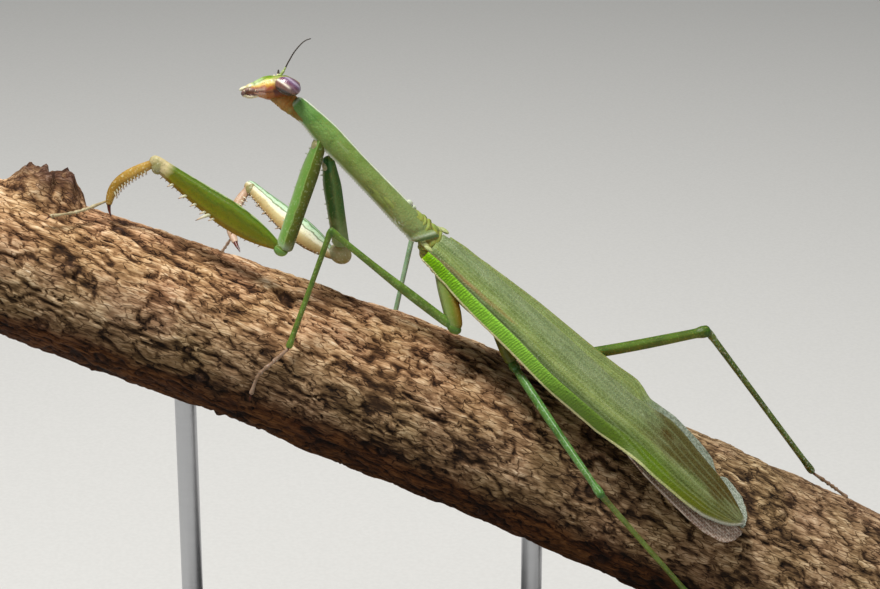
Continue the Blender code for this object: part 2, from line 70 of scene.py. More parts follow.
# Joints of each leg from the body outwards. A fore leg ends at the tip of its claw and has a foot of
# its own, the others end at the tip of the foot.
LEGS = {
    "fore_left": ((-17.0, -4.4, 100.5), (-22.4, -6.3, 85.1), (-40.8, -1.0, 96.6), (-47.4, -2.4, 88.8)),
    "fore_right": ((-15.9, -2.0, 96.8), (-14.3, 1.6, 81.7), (-28.7, 15.5, 87.8), (-29.6, 4.6, 81.0)),
    "mid_left": (
        (0.2, -6.0, 82.1), (2.4, -8.3, 73.6), (-15.5, -8.6, 88.7), (-21.7, -11.7, 72.0),
        (-25.9, -12.4, 68.3), (-27.2, -12.1, 65.1),
    ),
    "mid_right": (
        (4.8, -1.6, 81.0), (7.6, -0.6, 75.0), (-4.1, 18.3, 79.4), (-8.1, 13.0, 62.6),
        (-11.6, 13.1, 59.8), (-14.0, 12.2, 57.2),
    ),
    "hind_left": (
        (8.0, -6.4, 74.6), (10.5, -8.4, 68.4), (22.4, -27.4, 56.3), (37.0, -13.2, 33.3),
        (40.4, -10.6, 27.4), (43.4, -7.4, 21.9),
    ),
    "hind_right": (
        (8.8, -2.4, 73.7), (15.8, -1.6, 66.2), (40.2, 5.6, 68.1), (57.6, 7.6, 43.9),
        (60.8, 9.4, 41.0), (63.6, 10.6, 38.4),
    ),
}
LEG_PARTS = ("coxa", "femur", "tibia", "tarsus")
# Joints of each fore foot, from the side of the tibia outwards.
FORE_FEET = {
    "fore_left": ((-47.9, -1.3, 90.9), (-51.8, -4.6, 90.3), (-55.6, -6.4, 90.2)),
    "fore_right": ((-31.2, 8.6, 81.8), (-32.6, 11.2, 79.2), (-34.4, 12.8, 76.6)),
}
# How far each grasping femur's middle line lies below its hip.
FEMUR_DROP = {"fore_left": 0.0, "fore_right": 1.1}
# How high each grasping tibia bows out from the line to its claw, a power that fills the bow and one
# that moves its top towards the claw.
TIBIA_ARCH = {"fore_left": (2.3, 0.7, 1.45), "fore_right": (2.1, 1.0, 1.0)}
# How thick each walking leg's femur is at its two ends, and its tibia.
WALKING_LEGS = {
    "mid_left": (1.35, 0.95, 0.85),
    "mid_right": (1.35, 0.95, 0.85),
    "hind_left": (1.2, 1.0, 0.85),
    "hind_right": (1.6, 1.5, 1.0),
}

# Stations along the folded wings: distance from the root, and how far the wing reaches from the
# body's middle line with its inner and with its outer edge.
FORE_WING_LEFT = (
    (-1.2, -1.3, 2.9), (3.0, -1.6, 3.35), (8.0, -1.8, 3.9), (16.0, -1.8, 4.45), (25.0, -1.8, 5.1),
    (33.0, -1.8, 4.8), (38.0, -3.0, 4.7), (42.6, -4.1, 4.8), (48.0, -3.35, 4.45), (53.2, -2.7, 3.8),
    (55.4, -2.1, 3.1), (57.4, -1.3, 2.2), (58.8, -0.6, 1.2), (59.5, -0.1, 0.3),
)
FORE_WING_RIGHT = (
    (0.0, 0.1, 2.5), (3.0, 0.15, 2.8), (8.0, 0.2, 3.3), (16.0, 0.2, 4.1), (25.0, 0.2, 4.6),
    (31.0, 0.2, 5.4), (34.3, 0.2, 6.1), (38.0, 0.2, 4.9), (43.0, 0.2, 4.95), (47.0, 0.2, 4.8),
    (50.2, 0.2, 4.2), (52.0, 0.2, 2.9), (56.0, 0.2, 2.2), (59.0, 0.1, 0.8),
)
HIND_WING_LEFT = (
    (14.0, 0.3, 2.0), (26.0, 0.3, 3.9), (36.0, 0.3, 4.5), (39.0, 0.3, 4.9), (43.2, 0.3, 5.4),
    (47.6, 0.3, 5.6), (51.7, 0.3, 5.5), (55.3, 0.3, 5.1), (58.6, 0.3, 4.1), (60.1, 0.3, 2.6),
    (60.5, 0.3, 1.2),
)
HIND_WING_RIGHT = (
    (14.0, 0.3, 2.0), (26.0, 0.3, 3.9), (36.0, 0.3, 4.3), (44.0, 0.3, 4.6), (50.0, 0.3, 4.5),
    (52.5, 0.3, 4.0), (54.3, 0.3, 5.3), (56.8, 0.3, 5.0), (58.8, 0.3, 3.9), (59.9, 0.3, 2.4),
    (60.3, 0.3, 1.0),
)
# A wing sinks by its camber times the square of the way across, and bows over the back by its arch.
WING_CAMBER, WING_ARCH, WING_ARCH_SPAN, WING_END, WING_THICKNESS = 0.022, 1.6, 64.0, 59.5, 0.28
# Width of the bright strip by a fore wing's leading edge, and of the zone that its colours follow.
STRIP_WIDE, ZONE_WIDE = 2.55, 7.9
# Half sizes of the swelling at each fore leg's hip, and the share of the way there that its coxa runs.
HIP_BALLS = {"fore_left": (1.1, 0.9, 1.0), "fore_right": (1.9, 1.35, 1.5)}
COXA_REACH = {"fore_left": 1.0, "fore_right": 0.9}
# Long spines under each fore femur: place along the femur and length.
FORE_SPINES = {
    "fore_left": ((0.487, 0.9), (0.526, 2.2), (0.558, 0.9), (0.637, 0.9), (0.72, 1.2), (0.83, 0.9)),
    "fore_right": ((0.46, 0.7), (0.55, 0.8), (0.64, 0.7), (0.73, 0.8), (0.82, 0.6)),
}

# ---------------------------------------------------------------- curves, noise and surfaces


def unit(v):
    """A direction, or rows of them, one unit long."""
    v = np.asarray(v, float)
    return v / np.linalg.norm(v, axis=-1, keepdims=True)


def square_to(way, along):
    """The part of a direction that is square to another, one unit long."""
    return unit(way - along * (way * along).sum(-1, keepdims=True))


def left_handed(first, second, third):
    """Whether a skin wound from the first direction to the second, row by row along the third, faces in."""
    return float(np.dot(np.cross(first, second), third)) < 0.0


def eased(at, knots, values, firm=True):
    """Smooth curve through the values at the knots: a cubic between each two, whose slope at a knot is
    the mean of the slopes beside it, or, where firm, their harmonic mean, which never overshoots."""
    knots, values = np.asarray(knots, float), np.asarray(values, float)
    shape = (-1,) + (1,) * (values.ndim - 1)
    step = np.diff(knots).reshape(shape)
    slope = np.diff(values, axis=0) / step
    before, after = slope[:-1], slope[1:]
    if firm:
        both = before * after
        inner = np.divide(2.0 * both, before + after, out=np.zeros_like(both), where=both > 0.0)
    else:
        inner = (before + after) / 2.0
    tangent = np.concatenate([slope[:1], inner, slope[-1:]])
    i = np.clip(np.searchsorted(knots, at) - 1, 0, len(knots) - 2)
    t = np.clip((at - knots[i]) / np.diff(knots)[i], 0.0, 1.0).reshape(shape)
    return (
        (2 * t**3 - 3 * t**2 + 1) * values[i]
        + (t**3 - 2 * t**2 + t) * step[i] * tangent[i]
        + (3 * t**2 - 2 * t**3) * values[i + 1]
        + (t**3 - t**2) * step[i] * tangent[i + 1]
    )


def bump(x, width):
    """Bell curve, 1 at x = 0."""
    return np.exp(-((x / width) ** 2))


def step_up(x, low, high):
    """0 below low, 1 above high and a smooth S between them."""
    t = np.clip((x - low) / (high - low), 0.0, 1.0)
    return t * t * (3.0 - 2.0 * t)


def noise(x, y, repeat, seed):
    """Gradient noise from about -1 to 1: random slopes at whole numbers, blended between them. It
    repeats in y after a whole number of cells."""
    angles = np.random.default_rng(seed).uniform(0.0, TAU, (256, repeat))
    cell_x, cell_y = np.floor(x).astype(int), np.floor(y).astype(int)
    in_x, in_y = x - cell_x, y - cell_y
    total = 0.0
    for dx in (0, 1):
        for dy in (0, 1):
            angle = angles[(cell_x + dx) % 256, (cell_y + dy) % repeat]
            height = np.cos(angle) * (in_x - dx) + np.sin(angle) * (in_y - dy)
            weight_x = step_up(in_x, 0.0, 1.0) if dx else 1.0 - step_up(in_x, 0.0, 1.0)
            weight_y = step_up(in_y, 0.0, 1.0) if dy else 1.0 - step_up(in_y, 0.0, 1.0)
            total = total + height * weight_x * weight_y
    return total * 1.4


def cells(x, y, repeat, seed):
    """Cells round scattered seeds, one seed near each whole number: how much farther the second
    nearest seed is than the nearest, and a random value of the nearest one's own."""
    draw = np.random.default_rng(seed)
    shift = draw.uniform(0.1, 0.9, (2, 256, repeat))
    own = draw.uniform(0.0, 1.0, (256, repeat))
    cell_x, cell_y = np.floor(x).astype(int), np.floor(y).astype(int)
    nearest = np.full(x.shape, 9.0)
    second = np.full(x.shape, 9.0)
    value = np.zeros(x.shape)
    for dx in (-1, 0, 1):
        for dy in (-1, 0, 1):
            at = ((cell_x + dx) % 256, (cell_y + dy) % repeat)
            away = np.hypot(cell_x + dx + shift[0][at] - x, cell_y + dy + shift[1][at] - y)
            closer = away < nearest
            second = np.where(closer, nearest, np.minimum(second, away))
            value = np.where(closer, own[at], value)
            nearest = np.where(closer, away, nearest)
    return second - nearest, value


class Piece:
    """Surfaces in millimetres, gathered into one mesh with its places on the pattern, its finishes
    and named marks, each one number for a point, that the finishes read."""

    def __init__(self, *finishes):
        self.finishes = finishes
        self.points, self.faces, self.places, self.wears, self.marks = [], [], [], [], []
        self.size = 0

    def grid(self, points, places, finish=0, closed=True, flip=False, marks=None):
        """Skins rows of points, in one finish or one for each strip between rows. Where closed, each
        row is a ring, and a pole closes either end."""
        rows, columns = points.shape[:2]
        finish = np.broadcast_to(finish, rows - 1)
        index = self.size + np.arange(rows * columns).reshape(rows, columns)
        marks = {
            name: np.broadcast_to(mark, (rows, columns)).ravel() for name, mark in (marks or {}).items()
        }
        flat = points.reshape(-1, 3)
        if closed:
            index = np.hstack([index, index[:, :1]])
        corners = (np.s_[:-1, :-1], np.s_[:-1, 1:], np.s_[1:, 1:], np.s_[1:, :-1])
        self.take(
            np.stack([index[corner] for corner in corners], -1).reshape(-1, 4),
            np.stack([places[corner] for corner in corners], 2).reshape(-1, 4, 2),
            np.repeat(finish, columns if closed else columns - 1),
            flip,
        )
        if closed:
            flat = np.vstack([flat, points[0].mean(0), points[-1].mean(0)])
            marks = {name: np.append(mark, mark[[0, -1]]) for name, mark in marks.items()}
            for row, pole, order in ((0, 0, (1, 0)), (-1, 1, (0, 1))):
                ends, spots = (
                    [held[row, start : columns + start] for start in order] for held in (index, places)
                )
                centre = np.full(columns, self.size + rows * columns + pole)
                self.take(
                    np.stack([centre, *ends], -1),
                    np.stack([(spots[0] + spots[1]) / 2.0, *spots], 1),
                    np.full(columns, finish[row]),
                    flip,
                )
        self.points.append(flat)
        self.marks.append(marks)
        self.size += len(flat)

    def take(self, faces, places, finish, flip):
        """Keeps a block of faces with their places and finishes, turned over where flipped."""
        self.faces.append(faces[:, ::-1] if flip else faces)
        self.places.append(places[:, ::-1] if flip else places)
        self.wears.append(finish)

    def make(self, name, slot, *nodes, map_name="wrap"):
        """The finished object. It rides on the frame and stands for these nodes."""
        mesh = bpy.data.meshes.new(name)
        points = np.vstack(self.points) * MM
        mesh.from_pydata(points.tolist(), [], [face for block in self.faces for face in block.tolist()])
        layer = mesh.uv_layers.new(name=map_name)
        places = np.concatenate([block.reshape(-1) for block in self.places])
        layer.uv.foreach_set("vector", places.astype(np.float32))
        mesh.polygons.foreach_set("material_index", np.concatenate(self.wears).astype(np.int32))
        mesh.polygons.foreach_set("use_smooth", np.ones(len(mesh.polygons), bool))
        for mark in sorted({mark for marks in self.marks for mark in marks}):
            held = [m.get(mark, np.zeros(len(p))) for m, p in zip(self.marks, self.points)]
            store = mesh.attributes.new(mark, "FLOAT", "POINT")
            store.data.foreach_set("value", np.concatenate(held).astype(np.float32))
        for finish in self.finishes:
            mesh.materials.append(finish)
        made = bpy.data.objects.new(name, mesh)
        bpy.context.scene.collection.objects.link(made)
        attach(made, "root")
        if nodes:
            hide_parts(*nodes)
        return made


def wrapped(along, around, girth=1.0):
    """Places on the pattern of a tube: distance along it, and share of the way round times girth."""
    return np.stack(np.meshgrid(along, np.linspace(0.0, girth, around + 1), indexing="ij"), -1)


def sizes_at(at, stations):
    """Sizes at these places along a part, from its stations, each a place and the sizes there."""
    table = np.asarray(stations, float)
    return eased(at, table[:, 0], table[:, 1:])


def on_line(line, distance):
    """Points at these distances along a smooth curve through a line's points, running on straight
    past either end."""
    line = np.asarray(line, float)
    reach = np.concatenate([[0.0], np.cumsum(np.linalg.norm(np.diff(line, axis=0), axis=1))])
    inside = np.clip(distance, 0.0, reach[-1])
    points = eased(inside, reach, line, firm=False)
    before = np.minimum(distance, 0.0)[:, None] * unit(line[1] - line[0])
    after = np.maximum(distance - reach[-1], 0.0)[:, None] * unit(line[-1] - line[-2])
    return points + before + after, reach[-1]


def limb(piece, line, stations, outer, finish=0, ridges=(), rows=48, around=24, start=0.0, top=None):
    """Oval section carried along a smooth line, with round ends. A station is a share of the line's
    length with the thickness across outer and the depth across top there, or one size for both. A
    ridge is a turn from outer, a height and a width in turns; it runs the length of the limb."""
    stations = np.asarray(stations, float)
    if stations.shape[1] == 2:
        stations = stations[:, (0, 1, 1)]
    first, last = stations[0, 0], stations[-1, 0]
    share = first + (last - first) * (0.5 - 0.5 * np.cos(math.pi * (np.arange(rows) + 0.4) / (rows - 0.2)))
    _, length = on_line(line, np.zeros(1))
    middle, _ = on_line(line, share * length)
    halves = eased(share, stations[:, 0], stations[:, 1:3]) / 2.0
    ends = (halves[0].mean(), halves[-1].mean())
    for away, cap in (((share - first) * length, ends[0]), ((last - share) * length, ends[1])):
        halves = halves * np.sqrt(1.0 - (1.0 - np.minimum(away / cap, 1.0)) ** 2)[:, None]
    along = unit(np.gradient(middle, axis=0))
    side = square_to(np.asarray(outer, float), along)
    high = np.cross(along, side)
    flip = top is not None and float((high * np.asarray(top)).sum()) < 0.0
    if flip:
        high = -high
    turn = np.arange(around) / around
    push = np.ones((rows, around))
    for at, height, width in ridges:
        off = (turn - at + 0.5) % 1.0 - 0.5
        push = push + height * bump(off, width)[None, :]
    across = np.cos(TAU * turn) * halves[:, :1] * push
    over = np.sin(TAU * turn) * halves[:, 1:] * push
    points = middle[:, None] + side[:, None] * across[..., None] + high[:, None] * over[..., None]
    piece.grid(points, wrapped(start + share * length, around), finish, flip=flip)


def spine(piece, root, way, length, radius, finish=0, bend=(0.0, 0.0, 0.0), rows=7, around=7):
    """Pointed cone that sinks a little into what it grows from and curves by bend towards its tip."""
    way, root = unit(way), np.asarray(root, float)
    share = np.linspace(0.0, 1.0, rows)
    middle = root + way * (share[:, None] * (length + 0.4) - 0.4) + np.asarray(bend) * share[:, None] ** 2
    width = radius * (1.0 - share) ** 0.8 + 0.02
    side = square_to(np.array((0.31, 0.82, 0.47)), way)
    high = np.cross(way, side)
    turn = TAU * np.arange(around) / around
    ring = side * np.cos(turn)[:, None] + high * np.sin(turn)[:, None]
    piece.grid(middle[:, None] + ring * width[:, None, None], wrapped(share, around), finish)


def ball(piece, middle, axes, halves, finish=0, rows=14, around=20, marks=None):
    """Ellipsoid along three directions, its poles on the first."""
    tilt = math.pi * (np.arange(rows) + 0.5) / rows
    turn = TAU * np.arange(around) / around
    axes = unit(np.asarray(axes, float))
    points = np.asarray(middle) + (
        axes[0] * (-np.cos(tilt) * halves[0])[:, None, None]
        + axes[1] * (np.sin(tilt)[:, None] * np.cos(turn) * halves[1])[..., None]
        + axes[2] * (np.sin(tilt)[:, None] * np.sin(turn) * halves[2])[..., None]
    )
    flip = left_handed(axes[1], axes[2], axes[0])
    piece.grid(points, wrapped(tilt, around), finish, flip=flip, marks=marks)


def body_frame(front, rear, lean=LEAN):
    """Tailward, left and up directions of the body along this line, leaning to its left."""
    tail = unit(rear - front)
    level = unit(np.cross(tail, (0.0, 0.0, 1.0)))
    upright = np.cross(level, tail)
    up = upright * math.cos(lean) + level * math.sin(lean)
    left = level * math.cos(lean) - upright * math.sin(lean)
    return tail, left, up


# ---------------------------------------------------------------- finishes


def linear(code):
    """A linear colour from an sRGB hex value."""
    channels = [int(code[i : i + 2], 16) / 255.0 for i in (1, 3, 5)]
    return tuple(c / 12.92 if c <= 0.04045 else ((c + 0.055) / 1.055) ** 2.4 for c in channels) + (1.0,)


def add(tree, kind, inputs=None, stops=None, into=None, **settings):
    """Adds one node with its settings and links. An input takes a value, a hex colour, an output, or a
    node, whose first output it takes. Stops are the places and hex colours of a colour ramp, and into
    is the socket that the new node feeds."""
    made = tree.nodes.new("ShaderNode" + kind)
    for name, value in settings.items():
        setattr(made, name, value)
    for socket, value in (inputs or {}).items():
        if isinstance(value, bpy.types.Node):
            value = value.outputs[0]
        if isinstance(value, bpy.types.NodeSocket):
            tree.links.new(value, made.inputs[socket])
        else:
            made.inputs[socket].default_value = linear(value) if isinstance(value, str) else value
    if stops:
        ramp = made.color_ramp
        while len(ramp.elements) < len(stops):
            ramp.elements.new(1.0)
        for element, (place, colour) in zip(ramp.elements, stops):
            element.position = place
            element.color = linear(colour)
    if into:
        tree.links.new(made.outputs[0], into)
    return made


def surface(name, roughness, **constants):
    """A new material: its node tree and its Principled shader, with the shader's constants set."""
    made = bpy.data.materials.new(name)
    made.use_nodes = True
    shader = made.node_tree.nodes["Principled BSDF"]
    shader.inputs["Roughness"].default_value = roughness
    for socket, value in constants.items():
        shader.inputs[socket.replace("_", " ")].default_value = value
    return made, made.node_tree, shader


def coat(tree, shader, base, height, depth):
    """Gives a shader its base colour, and a bump this many millimetres deep."""
    tree.links.new(base.outputs[0], shader.inputs["Base Color"])
    add(tree, "Bump", {"Height": height, "Distance": depth * MM}, into=shader.inputs["Normal"])


def mottled(tree, source, size, dark, light, low=0.35, high=0.65, into=None):
    """Noise of this size in millimetres, blended between two hex colours."""
    spots = add(tree, "TexNoise", {"Vector": source, "Scale": 1.0 / (size * MM), "Detail": 3.0})
    return add(tree, "ValToRGB", {"Fac": spots}, stops=[(low, dark), (high, light)], into=into)


def cuticle(name, dark, light, pale, roughness=0.42):
    """Insect cuticle, satin as a thin coat of wax leaves it: a green that drifts between two shades,
    with pale flecks and shallow pits about 0.2 mm apart."""
    made, tree, shader = surface(name, roughness, Subsurface_Weight=0.12, Specular_IOR_Level=0.3)
    here = add(tree, "TexCoord").outputs["Object"]
    base = mottled(tree, here, 2.6, dark, light)
    flecks = add(tree, "TexNoise", {"Vector": here, "Scale": 1.0 / (0.33 * MM), "Detail": 2.0})
    share = add(tree, "MapRange", {"Value": flecks, 1: 0.56, 2: 0.74, 3: 0.0, 4: 0.55})
    base = add(tree, "MixRGB", {"Fac": share, "Color1": base, "Color2": pale})
    coat(tree, shader, base, flecks, 0.05)
    return made


def bark_finish():
    """Thin bark of a dry shrub stem: tan drifting to grey, pink and ochre, with hair cracks that wander
    along it about 0.6 mm apart, and umber where it sinks into furrows. A painted shade darkens the
    underside to dark brown, and a painted light makes the top paler along the upper part of the stem."""
    made, tree, shader = surface("weathered_bark", 0.9, Specular_IOR_Level=0.2)
    here = add(tree, "TexCoord").outputs["Object"]
    # The above mark carries a painted light that makes the top of the stem paler.
    height, scar, below, above = (
        add(tree, "Attribute", attribute_name=mark).outputs["Fac"]
        for mark in ("relief", "scar", "below", "above")
    )
    turned = add(tree, "Mapping", {"Vector": here, "Rotation": (0.0, -math.atan(BRANCH_SLOPE), 0.0)})
    sway = add(tree, "TexNoise", {"Vector": turned, "Scale": 1.0 / (2.2 * MM), "Detail": 3.0})
    swayed = add(
        tree, "MixRGB", {"Fac": 0.0003, "Color1": turned, "Color2": sway.outputs["Color"]},
        blend_type="LINEAR_LIGHT",
    )
    long_way = add(tree, "Mapping", {"Vector": swayed, "Scale": (0.2, 1.0, 1.0)})
    hairs = add(
        tree, "TexVoronoi", {"Vector": long_way, "Scale": 1.0 / (0.62 * MM), "Randomness": 1.0},
        feature="DISTANCE_TO_EDGE",
    )
    blunt = add(tree, "Mapping", {"Vector": swayed, "Scale": (0.28, 1.0, 1.0)})
    fleck = add(tree, "TexNoise", {"Vector": blunt, "Scale": 1.0 / (0.55 * MM), "Detail": 5.0})
    wide = add(tree, "MapRange", {"Value": fleck, 1: 0.4, 2: 0.66, 3: 0.008, 4: 0.07})
    open_way = add(tree, "Math", {0: hairs, 1: wide}, operation="DIVIDE")
    whole = add(tree, "MapRange", {"Value": open_way, 1: 0.3, 2: 1.5}, interpolation_type="SMOOTHSTEP")
    grain = add(tree, "TexNoise", {"Vector": long_way, "Scale": 1.0 / (0.22 * MM), "Detail": 4.0})
    lift = height
    for part, weight in ((whole, 0.26), (grain, 0.5), (fleck, 0.55)):
        lift = add(tree, "Math", {0: part, 1: weight, 2: lift}, operation="MULTIPLY_ADD")
    lift = add(tree, "Math", {0: lift, 1: -0.06}, operation="ADD")
    scaled = add(tree, "Math", {0: lift, 1: 0.6}, operation="MULTIPLY")
    stops = [
        (0.4, "#1a110a"), (0.54, "#3e2d1d"), (0.66, "#765f46"), (0.76, "#a2896c"), (0.88, "#cdb79a"),
        (1.0, "#efe2ce"),
    ]
    base = add(tree, "ValToRGB", {"Fac": scaled}, stops=stops)
    patch = mottled(tree, here, 9.0, "#9c8478", "#a09874", 0.35, 0.65)
    stops = [(0.3, "#2a1811"), (0.52, "#553828"), (0.74, "#8d7262")]
    crumbs = add(tree, "ValToRGB", {"Fac": fleck}, stops=stops)
    # Painted shade: the below mark multiplies dark brown into the underside, where little light falls.
    for share, colour, blend in (
        (0.6, patch, "SOFT_LIGHT"), (below, "#866445", "MULTIPLY"), (above, "#f2e2dc", "SOFT_LIGHT"),
        (scar, crumbs, "MIX"),
    ):
        base = add(tree, "MixRGB", {"Fac": share, "Color1": base, "Color2": colour}, blend_type=blend)
    rough = add(tree, "Math", {0: grain, 1: 0.8, 2: whole}, operation="MULTIPLY_ADD")
    coat(tree, shader, base, rough, 0.13)
    return made


def cut_wood_finish():
    """Sawn end of the stem: pale wood with wavering growth rings about 1 mm wide."""
    made, tree, shader = surface("sawn_branch_end", 0.75)
    here = add(tree, "TexCoord").outputs["Object"]
    away = add(tree, "Attribute", attribute_name="away").outputs["Fac"]
    wobble = add(tree, "TexNoise", {"Vector": here, "Scale": 1.0 / (6.0 * MM), "Detail": 3.0})
    depth = add(tree, "Math", {0: wobble, 1: 2.0, 2: away}, operation="MULTIPLY_ADD")
    rings = add(tree, "Math", {0: depth, 1: 0.6}, operation="PINGPONG")
    stops = [(0.0, "#a07e54"), (0.5, "#c2a474"), (1.0, "#d2b88c")]
    base = add(tree, "ValToRGB", {"Fac": rings}, stops=stops)
    coat(tree, shader, base, rings, 0.08)
    return made


def stained_wood_finish():
    """Ash stained black and sealed with satin lacquer: open grain shows as fine dull lines."""
    made, tree, shader = surface("black_stained_ash", 0.36, Coat_Weight=0.25, Coat_Roughness=0.25)
    here = add(tree, "TexCoord").outputs["Object"]
    long_way = add(tree, "Mapping", {"Vector": here, "Scale": (0.07, 1.0, 1.0)})
    grain = add(tree, "TexNoise", {"Vector": long_way, "Scale": 1.0 / (1.1 * MM), "Detail": 6.0})
    base = add(
        tree, "ValToRGB", {"Fac": grain}, stops=[(0.35, "#0d0c0c"), (0.55, "#1d1a18"), (0.7, "#2c2724")]
    )
    coat(tree, shader, base, grain, 0.12)
    return made


def steel_finish():
    """Stainless steel rod, brushed round its girth: fine rings that break up the highlight."""
    made, tree, shader = surface("brushed_stainless_steel", 0.34, Metallic=1.0)
    shader.inputs["Base Color"].default_value = linear("#b9babd")
    here = add(tree, "TexCoord").outputs["Object"]
    round_way = add(tree, "Mapping", {"Vector": here, "Scale": (0.05, 0.05, 1.0)})
    brush = add(tree, "TexNoise", {"Vector": round_way, "Scale": 1.0 / (0.16 * MM), "Detail": 3.0})
    add(tree, "MapRange", {"Value": brush, 3: 0.22, 4: 0.46}, into=shader.inputs["Roughness"])
    add(tree, "Bump", {"Height": brush, "Distance": 0.02 * MM}, into=shader.inputs["Normal"])
    return made


def pronotum_finish():
    """Leathery neck shield: fresh green in front, olive behind, with pale rims and a darker furrow."""
    made, tree, shader = surface("pronotum_cuticle", 0.45, Subsurface_Weight=0.1, Specular_IOR_Level=0.3)
    here = add(tree, "TexCoord").outputs["Object"]
    back, rim, below, crease = (
        add(tree, "Attribute", attribute_name=mark).outputs["Fac"]
        for mark in ("back", "rim", "below", "crease")
    )
    stops = [(0.0, "#4f8438"), (0.2, "#649040"), (0.4, "#708a3a"), (0.65, "#7f8a46"), (1.0, "#86905a")]
    base = add(tree, "ValToRGB", {"Fac": back}, stops=stops)
    drift = mottled(tree, here, 1.7, "#4f6426", "#8ba25e", 0.3, 0.7)
    grains = add(tree, "TexVoronoi", {"Vector": here, "Scale": 1.0 / (0.3 * MM)})
    spots = add(tree, "MapRange", {"Value": grains, 1: 0.0, 2: 0.35, 3: 0.25, 4: 0.0})
    for share, colour in (
        (0.35, drift), (crease, "#2c5220"), (below, "#7d9a4e"), (rim, "#e3e6cf"), (spots, "#b9c796"),
    ):
        base = add(tree, "MixRGB", {"Fac": share, "Color1": base, "Color2": colour})
    coat(tree, shader, base, grains, 0.05)
    return made


def body_skin_finish():
    """Soft skin and plates of the body: orange-brown at the neck, yellow-green where it folds behind
    the neck shield, and leaf green on the plates of the hind body."""
    made, tree, shader = surface("body_skin", 0.5, Subsurface_Weight=0.15, Specular_IOR_Level=0.3)
    here = add(tree, "TexCoord").outputs["Object"]
    back, crease = (
        add(tree, "Attribute", attribute_name=mark).outputs["Fac"] for mark in ("back", "crease")
    )
    stops = [
        (0.0, "#8a4c12"), (0.03, "#9c5c10"), (0.05, "#7a5c0c"), (0.075, "#5c5810"), (0.1, "#7f8436"),
        (0.37, "#8f9c40"),
        (0.42, "#a8b04e"), (0.47, "#8a9f4a"), (0.62, "#7d9a4c"), (0.92, "#8aa552"), (1.0, "#9aa860"),
    ]
    base = add(tree, "ValToRGB", {"Fac": back}, stops=stops)
    drift = mottled(tree, here, 1.2, "#5d6c26", "#c2c884", 0.3, 0.72)
    for share, colour in ((0.22, drift), (crease, "#3d3a12")):
        base = add(tree, "MixRGB", {"Fac": share, "Color1": base, "Color2": colour})
    fine = add(tree, "TexNoise", {"Vector": here, "Scale": 1.0 / (0.25 * MM), "Detail": 3.0})
    coat(tree, shader, base, fine, 0.05)
    return made


def head_finish():
    """Head capsule: yellow-green crown over a pale green face, a band of cream yellow beside the face,
    rust before the eyes, rosy cheeks with dark flecks, and an orange-brown underside, with a painted
    shade in dark maroon on the lower side behind, under the eyes."""
    made, tree, shader = surface("head_cuticle", 0.36, Subsurface_Weight=0.12, Specular_IOR_Level=0.35)
    here = add(tree, "TexCoord").outputs["Object"]
    height, forth, crease = (
        add(tree, "Attribute", attribute_name=mark).outputs["Fac"]
        for mark in ("height", "forth", "crease")
    )
    wander = add(tree, "TexNoise", {"Vector": here, "Scale": 1.0 / (0.9 * MM), "Detail": 3.0})
    level = add(tree, "MapRange", {"Value": wander, 1: 0.3, 2: 0.7, 3: -0.045, 4: 0.045})
    level = add(tree, "Math", {0: height, 1: level}, operation="ADD")
    front = [
        (0.0, "#7c4a1c"), (0.3, "#a87444"), (0.37, "#cca08c"), (0.46, "#c08470"), (0.52, "#dcb4a0"),
        (0.6, "#b8785c"), (0.65, "#dcae5c"), (0.7, "#e0c670"), (0.75, "#ccd09c"), (0.83, "#a4bc7a"),
        (1.0, "#82aa4c"),
    ]
    middle = [
        (0.0, "#7c4a1c"), (0.3, "#9a5f26"), (0.42, "#a8683a"), (0.5, "#a8503a"), (0.57, "#b8763a"),
        (0.66, "#d8a646"), (0.72, "#e4ca7c"), (0.8, "#dcd092"), (0.85, "#a6b040"), (0.9, "#7a9a1e"),
        (1.0, "#648c16"),
    ]
    # Stops 0.24 to 0.45 of the rear ramp are painted shade: dark maroon under the eyes.
    rear = [
        (0.0, "#6a3c14"), (0.12, "#85501c"), (0.24, "#6a3210"), (0.34, "#471a0a"), (0.45, "#7c4416"),
        (0.55, "#a07038"),
        (0.68, "#b08c50"), (0.79, "#a89c60"), (0.86, "#9ca050"), (0.92, "#8fa240"), (1.0, "#88a042"),
    ]
    ahead, beside, behind = (
        add(tree, "ValToRGB", {"Fac": level}, stops=stops) for stops in (front, middle, rear)
    )
    warped = add(tree, "Math", {0: wander, 1: 0.14, 2: forth}, operation="MULTIPLY_ADD")
    base = behind
    for low, high, colour in ((0.58, 0.63, beside), (0.72, 0.79, ahead)):
        share = add(tree, "MapRange", {"Value": warped, 1: low, 2: high}, interpolation_type="SMOOTHSTEP")
        base = add(tree, "MixRGB", {"Fac": share, "Color1": base, "Color2": colour})
    flecks = add(tree, "TexNoise", {"Vector": here, "Scale": 1.0 / (0.28 * MM), "Detail": 2.0})
    dark = add(tree, "MapRange", {"Value": flecks, 1: 0.6, 2: 0.7, 3: 0.0, 4: 0.5})
    for share, colour in ((dark, "#6a2f22"), (crease, "#3c1c12")):
        base = add(tree, "MixRGB", {"Fac": share, "Color1": base, "Color2": colour})
    coat(tree, shader, base, flecks, 0.05)
    return made


def mouth_finish(name, dark, light):
    """Mouth plates and palps: horny brown and dull mauve, paler where the plate is thin."""
    made, tree, shader = surface(name, 0.34)
    here = add(tree, "TexCoord").outputs["Object"]
    mottled(tree, here, 0.7, dark, light, into=shader.inputs["Base Color"])
    return made


